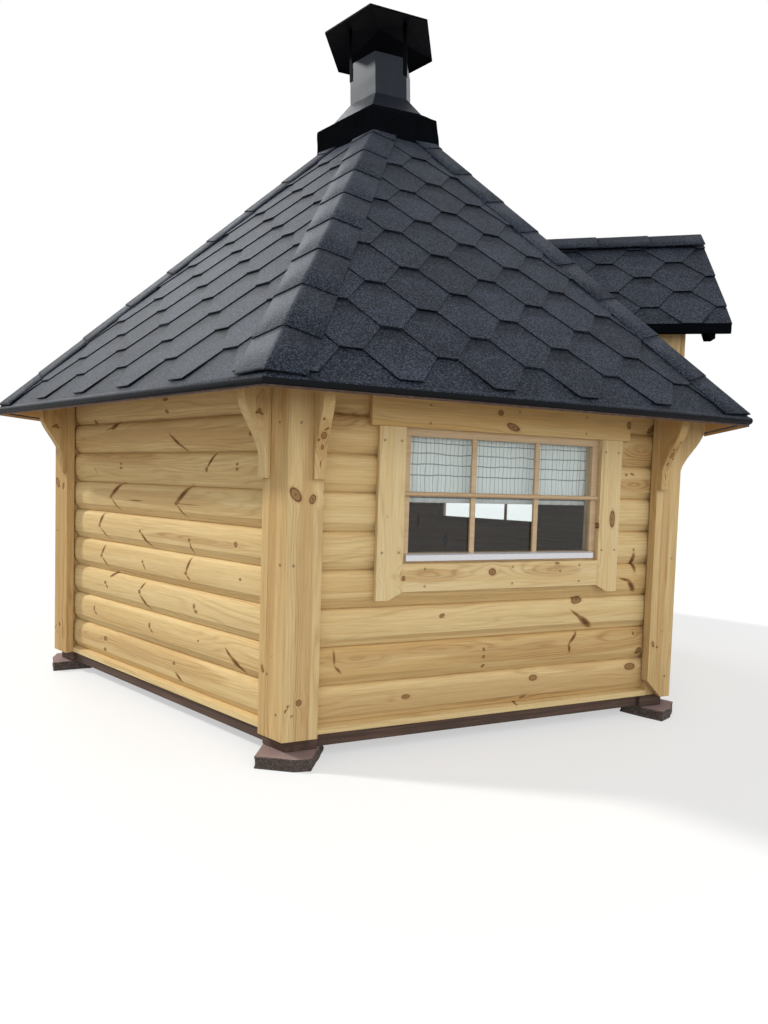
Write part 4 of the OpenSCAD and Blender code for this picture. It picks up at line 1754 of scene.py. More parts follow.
@dataclass
class CornerPosts(Assembly):
    """Corner posts, each with two grooved cover boards that meet in a mitre."""

    back: float = 1.3783
    groove_in: float = 36.0
    groove_w: float = 5.0
    groove_d: float = 1.6
    foot_cut: float = 72.0
    spare: float = 0.02
    mark_step: float = 7.0
    face_step: float = 9.0

    def board(self, side: int, marks: tuple[Mark, ...], trimmed: bool) -> BMesh:
        """One cover board in its wall's local frame.

        Args:
            side: 1 at the wall's +y end, -1 at its other end.
            marks: The wall's marks.
            trimmed: Whether its foot is cut at a slant.

        Returns:
            The board's mesh.
        """
        p = self.plan
        bm = bmesh.new()
        slope = math.tan(HALF_CORNER)
        top = p.under(self.back) + 0.01
        outline = [
            Vector((p.corner_ap, side * p.board_edge, p.wall_z)),
            Vector((p.corner_ap, side * p.corner_ap * slope, p.wall_z)),
            Vector((self.back, side * self.back * slope, p.wall_z)),
            Vector((self.back, side * p.board_edge, p.wall_z)),
        ]
        prism(bm, outline, Vector((0, 0, top - p.wall_z)))
        p.trim_under(bm)
        if trimmed:
            foot = (0, side * p.board_edge, p.wall_z + self.foot_cut * MM)
            cut_off(bm, foot, (0, -side, -1))
        low, high = sorted((side * p.board_edge / MM, side * p.corner_ap * slope / MM))
        own = [m for m in marks if low < m.y < high]
        heights = places_near(own, 1, p.wall_z / MM, top / MM, self.mark_step)
        slice_at(bm, 2, [z * MM for z in heights])
        slice_at(bm, 1, [y * MM for y in np.arange(low + 9, high - 4, self.face_step)])
        place = side * (p.board_edge / MM + self.groove_in)
        groove(bm, p.corner_ap / MM, place, self.groove_w, self.groove_d)
        return bm

    def core(self) -> BMesh:
        """The timber behind the boards, in the frame of the wall before it.

        Returns:
            The timber's mesh.
        """
        p = self.plan
        slope = math.tan(HALF_CORNER)
        edge, front, inner = p.log_end + HAIR * MM, self.back - HAIR * MM, p.wall_in
        half = [(front, edge), (inner, edge), (inner, inner * slope)]
        mirror = Matrix.Rotation(SIXTH, 2)
        other = [tuple(mirror @ Vector((x, -y))) for x, y in half[:2]]
        outline = [(front, front * slope), *half, other[1], other[0]]
        core = bmesh.new()
        height = p.under(p.wall_in) + self.spare - p.wall_z
        prism(core, [Vector((x, y, p.wall_z)) for x, y in outline], Vector((0, 0, height)))
        p.trim_under(core)
        p.trim_under(core, SIXTH)
        return core

    def build(self) -> None:
        """Builds the six posts."""
        p = self.plan
        marks: Marks = {}
        for wall in Wall:
            side = SIDE_BOARD_MARKS if wall is not Wall.REAR else mirrored(FAR_BOARD_MARKS)
            far = FAR_BOARD_MARKS if wall is not Wall.DOOR else mirrored(SIDE_BOARD_MARKS)
            marks[wall] = side + far
        for wall in Wall:
            number = wall.value + 1
            whole = bmesh.new()
            trimmed = wall is Wall.LEFT_FRONT
            for face, side in ((wall, 1), (wall.next, -1)):
                part = self.board(side, marks[face], trimmed and side > 0)
                part.transform(p.local(face))
                take(whole, part)
            core = self.core()
            core.transform(p.local(wall))
            take(whole, core)
            fix_normals(whole)
            piece = mesh_object(f"post_{number}", whole)
            dress_wood(piece, p, Grain.UPRIGHT, marks, seed=31 + number)
            bevelled(piece, 0.0022)
            smooth_by_angle(piece, 30)
            seat(piece, self.finishes.boards, [f"corner_post_{number}"])
        LOG.info("corner posts: 6 pieces")


@dataclass
class Brackets(Assembly):
    """The scrolled knee brackets under the eaves."""

    edge: float = 0.0025
    step: float = 5.0
    reach: float = 112.0
    width: float = 36.0
    foot_z: float = 943.0

    def build(self) -> None:
        """Builds the brackets as one piece of twelve solids."""
        p = self.plan
        whole = bmesh.new()
        for wall in Wall:
            part = node_mesh("eave_brackets")
            part.transform(p.local(wall).inverted())
            back, side = p.corner_ap - 0.002, p.board_edge + 0.05
            others = [v for v in part.verts if v.co.x < back or abs(v.co.y) > side]
            bmesh.ops.delete(part, geom=others, context="VERTS")
            round_edges(part, self.edge, 2, 38)
            marks = BRACKET_MARKS.get(wall, ())
            if marks:
                heights = np.arange(self.foot_z + 9, p.eave_z / MM + 30, self.step)
                slice_at(part, 2, [z * MM for z in heights])
                outward = np.arange(self.step, self.reach, self.step)
                slice_at(part, 0, [p.corner_ap + x * MM for x in outward])
                across = np.arange(self.step, self.width, self.step)
                for side in (-1, 1):
                    slice_at(part, 1, [side * (p.board_edge + y * MM) for y in across])
            part.transform(p.local(wall))
            take(whole, part)
        piece = mesh_object("brackets", whole)
        dress_wood(piece, p, Grain.BRACKET, BRACKET_MARKS, seed=53)
        smooth_by_angle(piece, 32)
        seat(piece, self.finishes.boards, ["eave_brackets"])
        LOG.info("eave brackets: 1 piece")


@dataclass
class Windows(Assembly):
    """A window: casing boards, frame, glazing bars, sill, glass and curtain."""

    casing_w: float = 98
    casing_t: float = 22
    head_extra: float = 6
    head_overhang: float = 32
    foot: float = 28
    foot_cut: float = 50
    groove_w: float = 7
    groove_d: float = 1.8
    step_y: float = 7
    step_z: float = 6
    marks_z: Point2 = (500, 1240)
    frame_w: float = 39
    frame_foot: float = 46
    frame_d: float = 38
    frame_gap: float = 3
    glass_back: float = 12
    bar_w: float = 20
    bar_y: float = 135
    rail_z: float = 903
    rail_h: float = 17
    screw_inset: float = 18
    screw_places: Point3 = (-330, 28, 330)
    curtain_h: float = 252
    curtain_t: float = 14
    pleat: float = 46
    pleat_depth: float = 4.2
    head_tone: float = 0.95
    board_tone: float = 0.35
    columns: int = 200
    rows: int = 9
    rail_steps: int = 8
    rail_out: float = 11

    @property
    def half(self) -> float:
        """Half the clear width, in millimetres."""
        return self.plan.window_w / MM / 2

    @property
    def low(self) -> float:
        """Lower edge of the clear opening, in millimetres."""
        return self.plan.window_z / MM

    @property
    def high(self) -> float:
        """Upper edge of the clear opening, in millimetres."""
        return (self.plan.window_z + self.plan.window_h) / MM

    def shifted(self, marks: tuple[Mark, ...]) -> tuple[Mark, ...]:
        """Marks moved from the wall's middle to the window's."""
        shift = self.plan.window_shift / MM
        return tuple(Mark(m.kind, m.y - shift, m.z, m.half_y, m.half_z, m.turn) for m in marks)

    def place(self, wall: Wall) -> Matrix:
        """Matrix from the window's own frame to the cabin's."""
        return self.plan.local(wall) @ Matrix.Translation((0, self.plan.window_shift, 0))

    def casing(self, wall: Wall, name: str) -> None:
        """Builds the four casing boards.

        Args:
            wall: The window's wall.
            name: The window's name.
        """
        front = self.plan.wall_ap / MM + HAIR
        half, low, high = self.half, self.low, self.high
        bm = bmesh.new()
        for side in (-1, 1):
            inner, outer = half, half + self.casing_w
            z0 = low - self.casing_w - self.foot
            outline = [
                (side * inner, z0 + self.foot),
                (side * (inner + self.foot_cut), z0),
                (side * outer, z0),
                (side * outer, high),
                (side * inner, high),
            ]
            part = bmesh.new()
            plank(part, outline, front, front + self.casing_t)
            place = side * (inner + self.foot_cut)
            groove(part, front + self.casing_t, place, self.groove_w, self.groove_d)
            take(bm, part)
        plank(bm, rect(-half, half, low - self.casing_w, low), front, front + self.casing_t)
        top = half + self.casing_w + self.head_overhang
        head = rect(-top, top, high, high + self.casing_w)
        plank(bm, head, front, front + self.casing_t + self.head_extra)
        marks = self.shifted(CASING_MARKS)
        slice_at(bm, 1, [y * MM for y in places_near(marks, 0, -top, top, self.step_y)])
        slice_at(bm, 2, [z * MM for z in places_near(marks, 1, *self.marks_z, self.step_z)])
        fix_normals(bm)
        bm.transform(self.place(wall))
        piece = mesh_object(f"casing_{name}", bm)
        self.dress_casing(piece, wall)
        bevelled(piece, 0.002)
        smooth_by_angle(piece, 30)
        seat(piece, self.finishes.trim, [f"window_casing_{name}"])

    def dress_casing(self, piece: Object, wall: Wall) -> None:
        """Upright grain in the side boards, level grain in the others.

        Args:
            piece: The casing.
            wall: Its wall.
        """
        dress_wood(piece, self.plan, Grain.ALONG_WALL, {wall: CASING_MARKS}, seed=61 + wall.value)
        mesh = piece.data
        flip = self.place(wall).inverted()
        grain, tone = mesh.attributes["grain"].data, mesh.attributes["tone"].data
        part = islands(mesh)
        height = np.array([(flip @ v.co).z for v in mesh.vertices])
        sill = self.low * MM
        for number in range(part.max() + 1):
            own = np.flatnonzero(part == number)
            foot, head = height[own].min(), height[own].max()
            for i in own:
                tone[i].value = self.head_tone if foot > sill else self.board_tone
                if foot < sill < head - 0.1:
                    x, y, z = grain[i].vector
                    grain[i].vector = (x, z, y)

    def sash(self, wall: Wall, name: str) -> None:
        """Builds the frame and its glazing bars.

        Args:
            wall: The window's wall.
            name: The window's name.
        """
        front = self.plan.wall_ap / MM
        lap = self.plan.hole_lap / MM - self.frame_gap
        out, low, high = self.half + lap, self.low - lap, self.high + lap
        inner = out - self.frame_w
        foot, head = low + self.frame_foot, high - self.frame_w
        back = front - self.frame_d
        bm = bmesh.new()
        for outline in (
            rect(-out, out, low, foot),
            rect(-out, out, head, high),
            rect(-out, -inner, foot, head),
            rect(inner, out, foot, head),
        ):
            plank(bm, outline, back, front)
        for side in (-1, 1):
            y = side * self.bar_y
            bar = rect(y - self.bar_w / 2, y + self.bar_w / 2, foot - 2, head)
            plank(bm, bar, front - self.glass_back + HAIR, front - 0.4)
        half, tall = self.half - 1, self.rail_h / 2
        outline = [(front + 0.2, self.rail_z - tall)]
        for i in range(self.rail_steps + 1):
            a = -math.pi / 2 + math.pi * i / self.rail_steps
            x = front + 3 + self.rail_out * math.cos(a)
            outline.append((x, self.rail_z + tall * math.sin(a)))
        outline.append((front + 0.2, self.rail_z + tall))
        ends = [Vector((x * MM, -half * MM, z * MM)) for x, z in outline]
        prism(bm, ends, Vector((0, 2 * half * MM, 0)))
        fix_normals(bm)
        bm.transform(self.place(wall))
        piece = mesh_object(f"sash_{name}", bm)
        dress_wood(piece, self.plan, Grain.ALONG_WALL, seed=71 + wall.value)
        bevelled(piece, 0.0018)
        smooth_by_angle(piece, 32)
        seat(piece, self.finishes.frame_wood, [f"window_frame_{name}"])

    def curtain(self, wall: Wall, name: str) -> Object:
        """Builds a pleated curtain and gives it its cloth finish.

        Args:
            wall: The window's wall.
            name: The window's name.

        Returns:
            The curtain.
        """
        p = self.plan
        rail = p.hole_lap / MM - self.frame_gap - self.frame_w / 2
        half, top = self.half + rail - 2, self.high + rail
        low = top - self.curtain_h
        x0 = p.wall_ap / MM - self.frame_d - self.curtain_t / 2 - HAIR
        phase = np.random.default_rng(5 + wall.value).uniform(0, 6.28, 3)
        bm = bmesh.new()
        uv = bm.loops.layers.uv.new("UVMap")
        grid: list[list[Vert]] = []
        lengths = [0.0]
        for i in range(self.columns + 1):
            y = -half + 2 * half * i / self.columns
            fold = 2 * math.pi * y / self.pleat + phase[0]
            wave = math.sin(fold + 0.5 * math.sin(y / 60 + phase[1]))
            column = []
            for j in range(self.rows + 1):
                t = j / self.rows
                depth = self.pleat_depth * (0.75 + 0.25 * math.cos(y / 90 + phase[2] + t))
                x = x0 + depth * wave * (1 - 0.25 * t)
                column.append(Vector((x * MM, y * MM, (low + (top - low) * t) * MM)))
            if grid:
                lengths.append(lengths[-1] + (column[0] - last).length)
            last = column[0]
            grid.append([bm.verts.new(v) for v in column])
        drop_step = (top - low) / self.rows * MM
        for i in range(self.columns):
            for j in range(self.rows):
                spots = ((i, j), (i + 1, j), (i + 1, j + 1), (i, j + 1))
                face = bm.faces.new([grid[a][b] for a, b in spots])
                for loop, (a, b) in zip(face.loops, spots):
                    loop[uv].uv = (lengths[a], drop_step * b)
        bm.transform(self.place(wall))
        piece = mesh_object(f"curtain_{name}", bm)
        piece.data.polygons.foreach_set("use_smooth", [True] * len(piece.data.polygons))
        solid = piece.modifiers.new("thickness", "SOLIDIFY")
        solid.thickness = 0.0006
        solid.offset = 0
        seat(piece, self.finishes.cloth)
        return piece

    def screw_points(self) -> list[Point3]:
        """Where the casing boards are screwed, in the window's frame.

        Returns:
            The places, in millimetres.
        """
        front = self.plan.wall_ap / MM + HAIR + self.casing_t
        insets = (self.screw_inset, self.casing_w - self.screw_inset)
        points = []
        for side in (-1, 1):
            for inset in insets:
                for z in (self.high - 48, self.low + 40):
                    points.append((front, side * (self.half + inset), z))
        for y in self.screw_places:
            for inset in insets:
                points.append((front + self.head_extra, y, self.high + inset))
                points.append((front, y, self.low - inset))
        return points

    def build(self) -> None:
        """Builds the three windows."""
        panes = mesh_object("panes", node_mesh("window_panes"))
        seat(panes, self.finishes.pane, ["window_panes"])
        sills = mesh_object("sills", node_mesh("window_sills"))
        bevelled(sills, 0.001)
        smooth_by_angle(sills, 32)
        seat(sills, self.finishes.silver, ["window_sills"])
        for wall, name in zip(WINDOW_WALLS, ("left", "right", "rear")):
            self.casing(wall, name)
            self.sash(wall, name)
            curtain = self.curtain(wall, name)
            if wall is Wall.LEFT_FRONT:
                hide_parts("window_curtains")
        LOG.info("windows: 3, with panes, sills and curtains")


@dataclass
class Screws(Assembly):
    """Screw heads let into the boards."""

    windows: Windows
    radius: float = 4.2
    sides: int = 12

    def head(self) -> Object:
        """One countersunk head that faces +x.

        Returns:
            The head as a helper object.
        """
        bm = bmesh.new()
        turns = [2 * math.pi * i / self.sides for i in range(self.sides)]
        loops = []
        for x, scale in ((-0.002, 1.0), (0.0006, 1.0), (0.0006, 0.72), (-0.0006, 0.5)):
            r = self.radius * MM * scale
            loops.append([bm.verts.new((x, r * math.cos(a), r * math.sin(a))) for a in turns])
        for a, b in zip(loops, loops[1:]):
            band(bm, a, b)
        bm.faces.new(loops[-1])
        bm.faces.new(list(reversed(loops[0])))
        fix_normals(bm)
        return mesh_object("screw_head", bm)

    def post_points(self) -> list[Point3]:
        """Where the cover boards are screwed, in a wall's frame.

        Returns:
            The places, in millimetres.
        """
        face = self.plan.corner_ap / MM
        points = []
        for side in (-1, 1):
            for z, y in ((1123, 775), (664, 790), (173, 785)):
                points.append((face, side * y, z))
        return points

    def build(self) -> None:
        """Builds the screws as one piece."""
        p = self.plan
        tree = scatter_tree()
        head = self.head()
        whole = bmesh.new()
        for wall in Wall:
            groups = [(p.local(wall), self.post_points())]
            if wall in WINDOW_WALLS:
                groups.append((self.windows.place(wall), self.windows.screw_points()))
            for place, points in groups:
                spots = bpy.data.meshes.new("spots")
                spots.from_pydata([[c * MM for c in q] for q in points], [], [])
                finish = self.finishes.screw
                mesh = tree.make(spots, Piece=head, Seed=3 + wall.value, Finish=finish)
                mesh.transform(place)
                whole.from_mesh(mesh)
        drop(head)
        piece = mesh_object("screws", whole)
        seat(piece, self.finishes.screw)
        LOG.info("screws: 1 piece")


@dataclass
class ShingleRoof(Assembly):
    """Courses of six-sided shingle tabs on every slope, with hip and ridge caps."""

    pitch: float = 0.3333
    exposure: float = 0.1331
    thickness: float = 0.0042
    lap: float = 2.05
    flat: float = 0.078
    first: float = 0.028
    cap_half: float = 0.115
    cap_step: float = 0.2628
    cap_length: float = 0.310
    cap_thickness: float = 0.0042
    cap_press: float = math.radians(1.6)
    cap_edge: float = 1.620
    cap_stray: float = 0.004
    cap_bend: float = 0.014
    cap_lift: float = 0.0085
    starter: float = 0.170
    starter_foot: float = -0.004
    starter_lift: float = 0.0006
    stray: float = 0.0012
    soffit_drop: float = 0.0195
    board_w: float = 0.11
    under_collar: float = 0.03
    valley: float = 0.003
    ridge_valley: float = 0.002
    verge: float = 0.004
    dormer_share: float = 0.975
    dormer_first: float = -0.006
    felt_reach: float = 0.0125
    lip_h: float = 0.012

    def height(self, up: float) -> float:
        """Height of a strip's underside above the boards, from its lower edge."""
        return self.thickness * (self.lap - up / self.exposure)

    def tab(self) -> Object:
        """One tab of a strip, with its lower edge at y = 0.

        Returns:
            The tab as a helper object.
        """
        e, half = self.exposure, self.pitch / 2 - 0.0002
        low, wide = self.flat / 2, self.pitch / 2 - self.flat / 2
        end = self.lap * e
        outline = [
            (-low, 0), (low, 0), (wide, e), (half, e), (half, end), (-half, end), (-half, e),
            (-wide, e),
        ]
        soft, side = 0.0016, 0.0018
        top = [
            (-low + 0.001, soft), (low - 0.001, soft), (wide - side, e + soft / 2),
            (half, e + soft), (half, end), (-half, end), (-half, e + soft),
            (-wide + side, e + soft / 2),
        ]
        bm = bmesh.new()
        layer = bm.loops.layers.float_vector.new("tab")
        t = self.thickness
        rings = [
            [bm.verts.new((x, y, self.height(y) + h)) for x, y in points]
            for points, h in ((outline, 0.0), (outline, t * 0.75), (top, t))
        ]
        faces = [(bm.faces.new(rings[2]), 0.0), (bm.faces.new(list(reversed(rings[0]))), 1.0)]
        for level, rim in ((0, 1.0), (1, 0.0)):
            faces += [(face, rim) for face in band(bm, rings[level], rings[level + 1])]
        for face, rim in faces:
            for loop in face.loops:
                x, y, _ = loop.vert.co
                loop[layer] = Vector((x / self.pitch, y / e, rim))
        return mesh_object("tab", bm)

    def cap_section(self, wing: float) -> tuple[list[Vector], list[Vector]]:
        """Section of a folded cap.

        Args:
            wing: Angle of its wings below the level across the line.

        Returns:
            Points across the cap, and the outward direction at each.
        """
        steps, bend = 5, self.cap_bend
        reach = self.cap_half - wing * bend
        half = []
        for side in (-1, 1):
            turns = [wing * i / (steps - 1) for i in range(steps)]
            arc = [Vector((side * bend * math.sin(a), bend * (math.cos(a) - 1))) for a in turns]
            out = Vector((side * reach * math.cos(wing), -reach * math.sin(wing)))
            half.append(arc + [arc[-1] + out * share for share in (0.5, 1.0)])
        section = list(reversed(half[0])) + half[1][1:]
        normals = []
        for i in range(len(section)):
            before, after = section[max(i - 1, 0)], section[min(i + 1, len(section) - 1)]
            d = (after - before).normalized()
            normals.append(Vector((-d.y, d.x)))
        return section, normals

    def cover(self, wing: float) -> Object:
        """One folded cap: x up the line, y across it, z outwards.

        Args:
            wing: Angle of its wings below the level across the line.

        Returns:
            The cap as a helper object.
        """
        bm = bmesh.new()
        layer = bm.loops.layers.float_vector.new("tab")
        section, normals = self.cap_section(wing)
        t = self.cap_thickness
        built = []
        for x, share in ((0.0, 0.7), (0.0015, 1.0), (self.cap_length, 1.0)):
            base = 1.25 * t - t / self.cap_step * x + self.cap_lift
            edges = []
            for lift in (base, base + t * share):
                spots = [q + m * lift for q, m in zip(section, normals)]
                edges.append([bm.verts.new((x, q.x, q.y)) for q in spots])
            built.append(edges)
        count = len(section)
        faces = []
        for (lo_a, up_a), (lo_b, up_b) in zip(built, built[1:]):
            for i in range(count - 1):
                faces.append((bm.faces.new((up_a[i], up_b[i], up_b[i + 1], up_a[i + 1])), 0.0))
                faces.append((bm.faces.new((lo_a[i], lo_a[i + 1], lo_b[i + 1], lo_b[i])), 1.0))
            faces.append((bm.faces.new((lo_a[0], lo_b[0], up_b[0], up_a[0])), 0.3))
            faces.append((bm.faces.new((lo_a[-1], up_a[-1], up_b[-1], lo_b[-1])), 0.3))
        for (low, up), flip in ((built[0], False), (built[-1], True)):
            for i in range(count - 1):
                quad = (low[i], up[i], up[i + 1], low[i + 1])
                faces.append((bm.faces.new(tuple(reversed(quad)) if flip else quad), 1.0))
        fix_normals(bm)
        for face, rim in faces:
            face.smooth = rim == 0.0
            for loop in face.loops:
                x, y, _ = loop.vert.co
                loop[layer] = Vector((y / self.cap_half, x / self.cap_step, rim))
        return mesh_object("cap_piece", bm)

    def face(self, tree: Repeater, tab: Object, wall: Wall, phase: float) -> BMesh:
        """The shingles of one main roof face, trimmed at its hips.

        Args:
            tree: The tree that repeats the tabs.
            tab: The tab.
            wall: The roof face's wall.
            phase: Shift of the tabs along the eave.

        Returns:
            The shingles' mesh.
        """
        p = self.plan
        length = (p.deck_ap - p.collar_ap) / math.cos(p.pitch)
        courses = math.ceil((length - self.first) / self.exposure) + 1
        bm = self.courses(
            tree, 1.1, Piece=tab, Columns=7, Courses=courses, Exposure=self.exposure,
            Phase=phase, First=self.first, Seed=20 + wall.value,
        )
        bm.transform(p.roof_frame(wall))
        turn = p.local(wall)
        for side in (-1, 1):
            a = HALF_CORNER * side
            normal = turn.to_3x3() @ Vector((-math.sin(a), math.cos(a), 0)) * side
            cut_off(bm, (p.centre_x, 0, 0), normal)
        cut_in(bm, turn, (p.collar_ap - self.under_collar, 0, 0), (-1, 0, 0))
        return bm

    def courses(self, tree: Repeater, half: float, **values: object) -> BMesh:
        """A slope's courses, on a starter strip.

        Args:
            tree: The tree that repeats the tabs.
            half: Half the strip's length.
            values: The tree's other values.

        Returns:
            The mesh, in the slope's frame.
        """
        finish = self.finishes.shingle
        bm = editable(tree.make(Pitch=self.pitch, Stray=self.stray, Finish=finish, **values))
        layer = bm.loops.layers.float_vector["tab"]
        corners = rect(-half, half, self.starter_foot, self.starter)
        low = [bm.verts.new((x, y, self.starter_lift)) for x, y in corners]
        up = [bm.verts.new((x, y, self.thickness)) for x, y in corners]
        faces = [bm.faces.new(up), bm.faces.new(list(reversed(low))), *band(bm, low, up)]
        for face in faces:
            for loop in face.loops:
                loop[layer] = PLAIN_TAB
        return bm

    def split_round_dormer(self, bm: BMesh) -> BMesh:
        """Removes what the dormer covers from the door side's shingles.

        Args:
            bm: The door side's shingles, which are freed.

        Returns:
            What lies beside the dormer, above it and under its overhang.
        """
        p = self.plan
        mesh = bpy.data.meshes.new("door_side")
        bm.to_mesh(mesh)
        bm.free()
        reach = p.dormer_reach + self.verge
        whole = bmesh.new()
        for side in (-1, 1):
            slope = p.dormer_frame(side)
            normal = slope.to_3x3() @ Vector((0, 0, 1))
            soffit = slope @ Vector((0, 0, -self.soffit_drop))
            outer = ((0, side * reach, 0), (0, -side, 0))
            inner = ((0, side * reach, 0), (0, side, 0))
            middle = ((0, 0, 0), (0, -side, 0))
            cheek = ((0, side * (p.portal_y + 0.0015), 0), (0, -side, 0))
            above = (slope.translation, -normal)
            for planes in ((outer,), (inner, middle, above), (inner, cheek, (soffit, normal))):
                part = editable(mesh)
                for point, away in planes:
                    cut_off(part, point, away)
                take(whole, part)
        bpy.data.meshes.remove(mesh)
        return whole

    def dormer(self, tree: Repeater, tab: Object, side: int) -> BMesh:
        """The shingles of one dormer slope.

        Args:
            tree: The tree that repeats the tabs.
            tab: The tab.
            side: -1 for the slope on the -Y side, 1 for the other.

        Returns:
            The shingles' mesh.
        """
        p = self.plan
        verge = p.dormer_x + self.verge
        phase = -side * (p.dormer_x - 5 * self.pitch)
        bm = self.courses(
            tree, 1.8, Piece=tab, Columns=12, Courses=7, Phase=phase,
            Exposure=self.exposure * self.dormer_share, First=self.dormer_first, Seed=40 + side,
        )
        bm.transform(p.dormer_frame(side))
        cut_off(bm, (p.centre_x + verge, 0, 0), (1, 0, 0))
        cut_off(bm, (0, 0, 0), (0, -side, 0))
        cut_in(bm, p.roof_frame(Wall.DOOR), (0, 0, self.valley), (0, 0, -1))
        return bm

    def hip_frame(self, wall: Wall) -> tuple[Matrix, float]:
        """Frame of the hip after a wall, and the angle of its caps' wings.

        Args:
            wall: The wall before the hip.

        Returns:
            The frame (up the hip, across it, outwards) and the angle.
        """
        p = self.plan
        first, second = p.roof_frame(wall), p.roof_frame(wall.next)
        n1, n2 = first.to_3x3().col[2], second.to_3x3().col[2]
        outward = (n1 + n2).normalized()
        up = n2.cross(n1).normalized()
        if up.z < 0:
            up = -up
        across = outward.cross(up).normalized()
        reach = p.deck_ap / math.cos(HALF_CORNER)
        turn = wall.turn + HALF_CORNER
        foot = Vector(
            (p.centre_x + reach * math.cos(turn), reach * math.sin(turn), p.eave_z + p.plumb)
        )
        wing = math.acos(max(-1.0, min(1.0, outward.dot(n1))))
        place = Matrix.Translation(foot) @ Matrix((up, across, outward)).transposed().to_4x4()
        return place, wing

    def cap_row(
        self, tree: Repeater, wing: float, count: int, start: float, seed: int
    ) -> BMesh:
        """A row of folded caps.

        Args:
            tree: The tree that repeats them.
            wing: Angle of their wings.
            count: How many.
            start: Where the first one starts.
            seed: Seed for their strays.

        Returns:
            The row, along x.
        """
        cap = self.cover(wing)
        mesh = tree.make(
            Piece=cap, Count=count, Step=(self.cap_step, 0, 0), Start=(start, 0, 0),
            Stray=self.cap_stray, Seed=seed, Finish=self.finishes.shingle,
        )
        drop(cap)
        return editable(mesh)

    def caps(self) -> None:
        """Builds the hip caps of all corners and the dormer's ridge caps."""
        p = self.plan
        tree = line_tree()
        whole = bmesh.new()
        for wall in Wall:
            place, wing = self.hip_frame(wall)
            part = self.cap_row(tree, wing + self.cap_press, 9, -0.02, 50 + wall.value)
            part.transform(place)
            for side in (wall, wall.next):
                cut_in(part, p.local(side), (self.cap_edge, 0, 0), (1, 0, 0))
            take(whole, part)
        piece = mesh_object("hip_caps", whole)
        seat(piece, self.finishes.shingle)
        ridge_z = p.dormer_eave_z + p.dormer_reach * p.rise + p.plumb
        bm = self.cap_row(tree, p.pitch * 0.93, 4, 0, 60)
        turn = Matrix.Rotation(math.pi, 4, "Z")
        start = Vector((p.centre_x + p.dormer_x + 0.002, 0, ridge_z + 0.004))
        bm.transform(Matrix.Translation(start) @ turn)
        cut_in(bm, p.roof_frame(Wall.DOOR), (0, 0, self.ridge_valley), (0, 0, -1))
        piece = mesh_object("ridge_caps", bm)
        seat(piece, self.finishes.shingle)

    def decks(self) -> None:
        """Roof boards under the shingles, which show from below."""
        for wall in Wall:
            name = "door_side" if wall is Wall.DOOR else wall.name.lower()
            bm = node_mesh(f"roof_{name}")
            bm.transform(self.plan.roof_frame(wall).inverted())
            slice_at(bm, 1, [self.board_w * k for k in range(1, 18)])
            bm.transform(self.plan.roof_frame(wall))
            piece = mesh_object(f"roof_boards_{name}", bm)
            dress_wood(piece, self.plan, Grain.ALONG_WALL, seed=81 + wall.value)
            # The roof boards take the darker copy of the pine, which paints the shade on their
            # undersides.
            seat(piece, self.finishes.soffit, [f"roof_{name}"])
        for name in ("left", "right"):
            piece = mesh_object(f"dormer_boards_{name}", node_mesh(f"dormer_roof_{name}"))
            dress_wood(piece, self.plan, Grain.ALONG_WALL, seed=91)
            seat(piece, self.finishes.boards, [f"dormer_roof_{name}"])

    def edging(self) -> None:
        """The rounded felt edge round the eaves, stopped at the door surround."""
        p = self.plan
        steps, reach = 8, self.felt_reach
        out, up = p.deck_ap - 0.002, p.eave_z + 0.021
        section = [
            (p.deck_ap - 0.030, p.eave_z + p.plumb + 0.0275),
            (p.deck_ap - 0.034, p.eave_z + p.plumb + 0.020),
            (p.deck_ap - 0.010, p.eave_z + 0.010),
        ]
        for i in range(steps + 1):
            a = math.radians(-100 + 155 * i / steps)
            section.append((out + reach * math.cos(a), up + (reach + 0.002) * math.sin(a)))
        # Above the height up, the nose takes the lighter granule colour: painted light on its
        # upper half. Below it, the nose stays black felt.
        bm = self.swept(section, up)
        piece = mesh_object("eave_felt", bm)
        smooth_by_angle(piece, 50)
        seat(piece, self.finishes.shingle, ["eave_edging"])
        inside, outside = p.deck_ap - 0.0005, p.deck_ap + 0.0008
        low, high = p.eave_z - 0.0006, p.eave_z + self.lip_h
        lip = self.swept([(inside, low), (outside, low), (outside, high), (inside, high)], high)
        piece = mesh_object("eave_lip", lip)
        dress_wood(piece, p, Grain.ALONG_WALL, seed=97)
        seat(piece, self.finishes.stained)

    def swept(self, section: Sequence[Point2], middle: float) -> BMesh:
        """Carries a section round the eaves from one side of the door to the other.

        Args:
            section: Points (distance from the axis to the wall side, height).
            middle: Height above which the band takes the lighter granule colour, painted light on
                the upper half of the nose; below it the band keeps the black edge colour.

        Returns:
            The closed band.
        """
        p = self.plan
        bm = bmesh.new()
        layer = bm.loops.layers.float_vector.new("tab")
        rows = [[bm.verts.new((x, p.portal_y, z)) for x, z in section]]
        for k in range(6):
            turn = Wall.DOOR.turn + HALF_CORNER + SIXTH * k
            c, s = math.cos(turn), math.sin(turn)
            far = [(x / math.cos(HALF_CORNER), z) for x, z in section]
            rows.append([bm.verts.new((x * c, x * s, z)) for x, z in far])
        rows.append([bm.verts.new((x, -p.portal_y, z)) for x, z in section])
        for face in lathe(bm, rows)[:-2]:
            # Faces above middle take the granule colour, which paints light; the other faces keep
            # the black edge colour.
            rim = 0.0 if min(vert.co.z for vert in face.verts) > middle else 1.0
            for loop in face.loops:
                loop[layer] = PLAIN_TAB + Vector((0, 0, rim))
        fix_normals(bm)
        bm.transform(Matrix.Translation((p.centre_x, 0, 0)))
        return bm

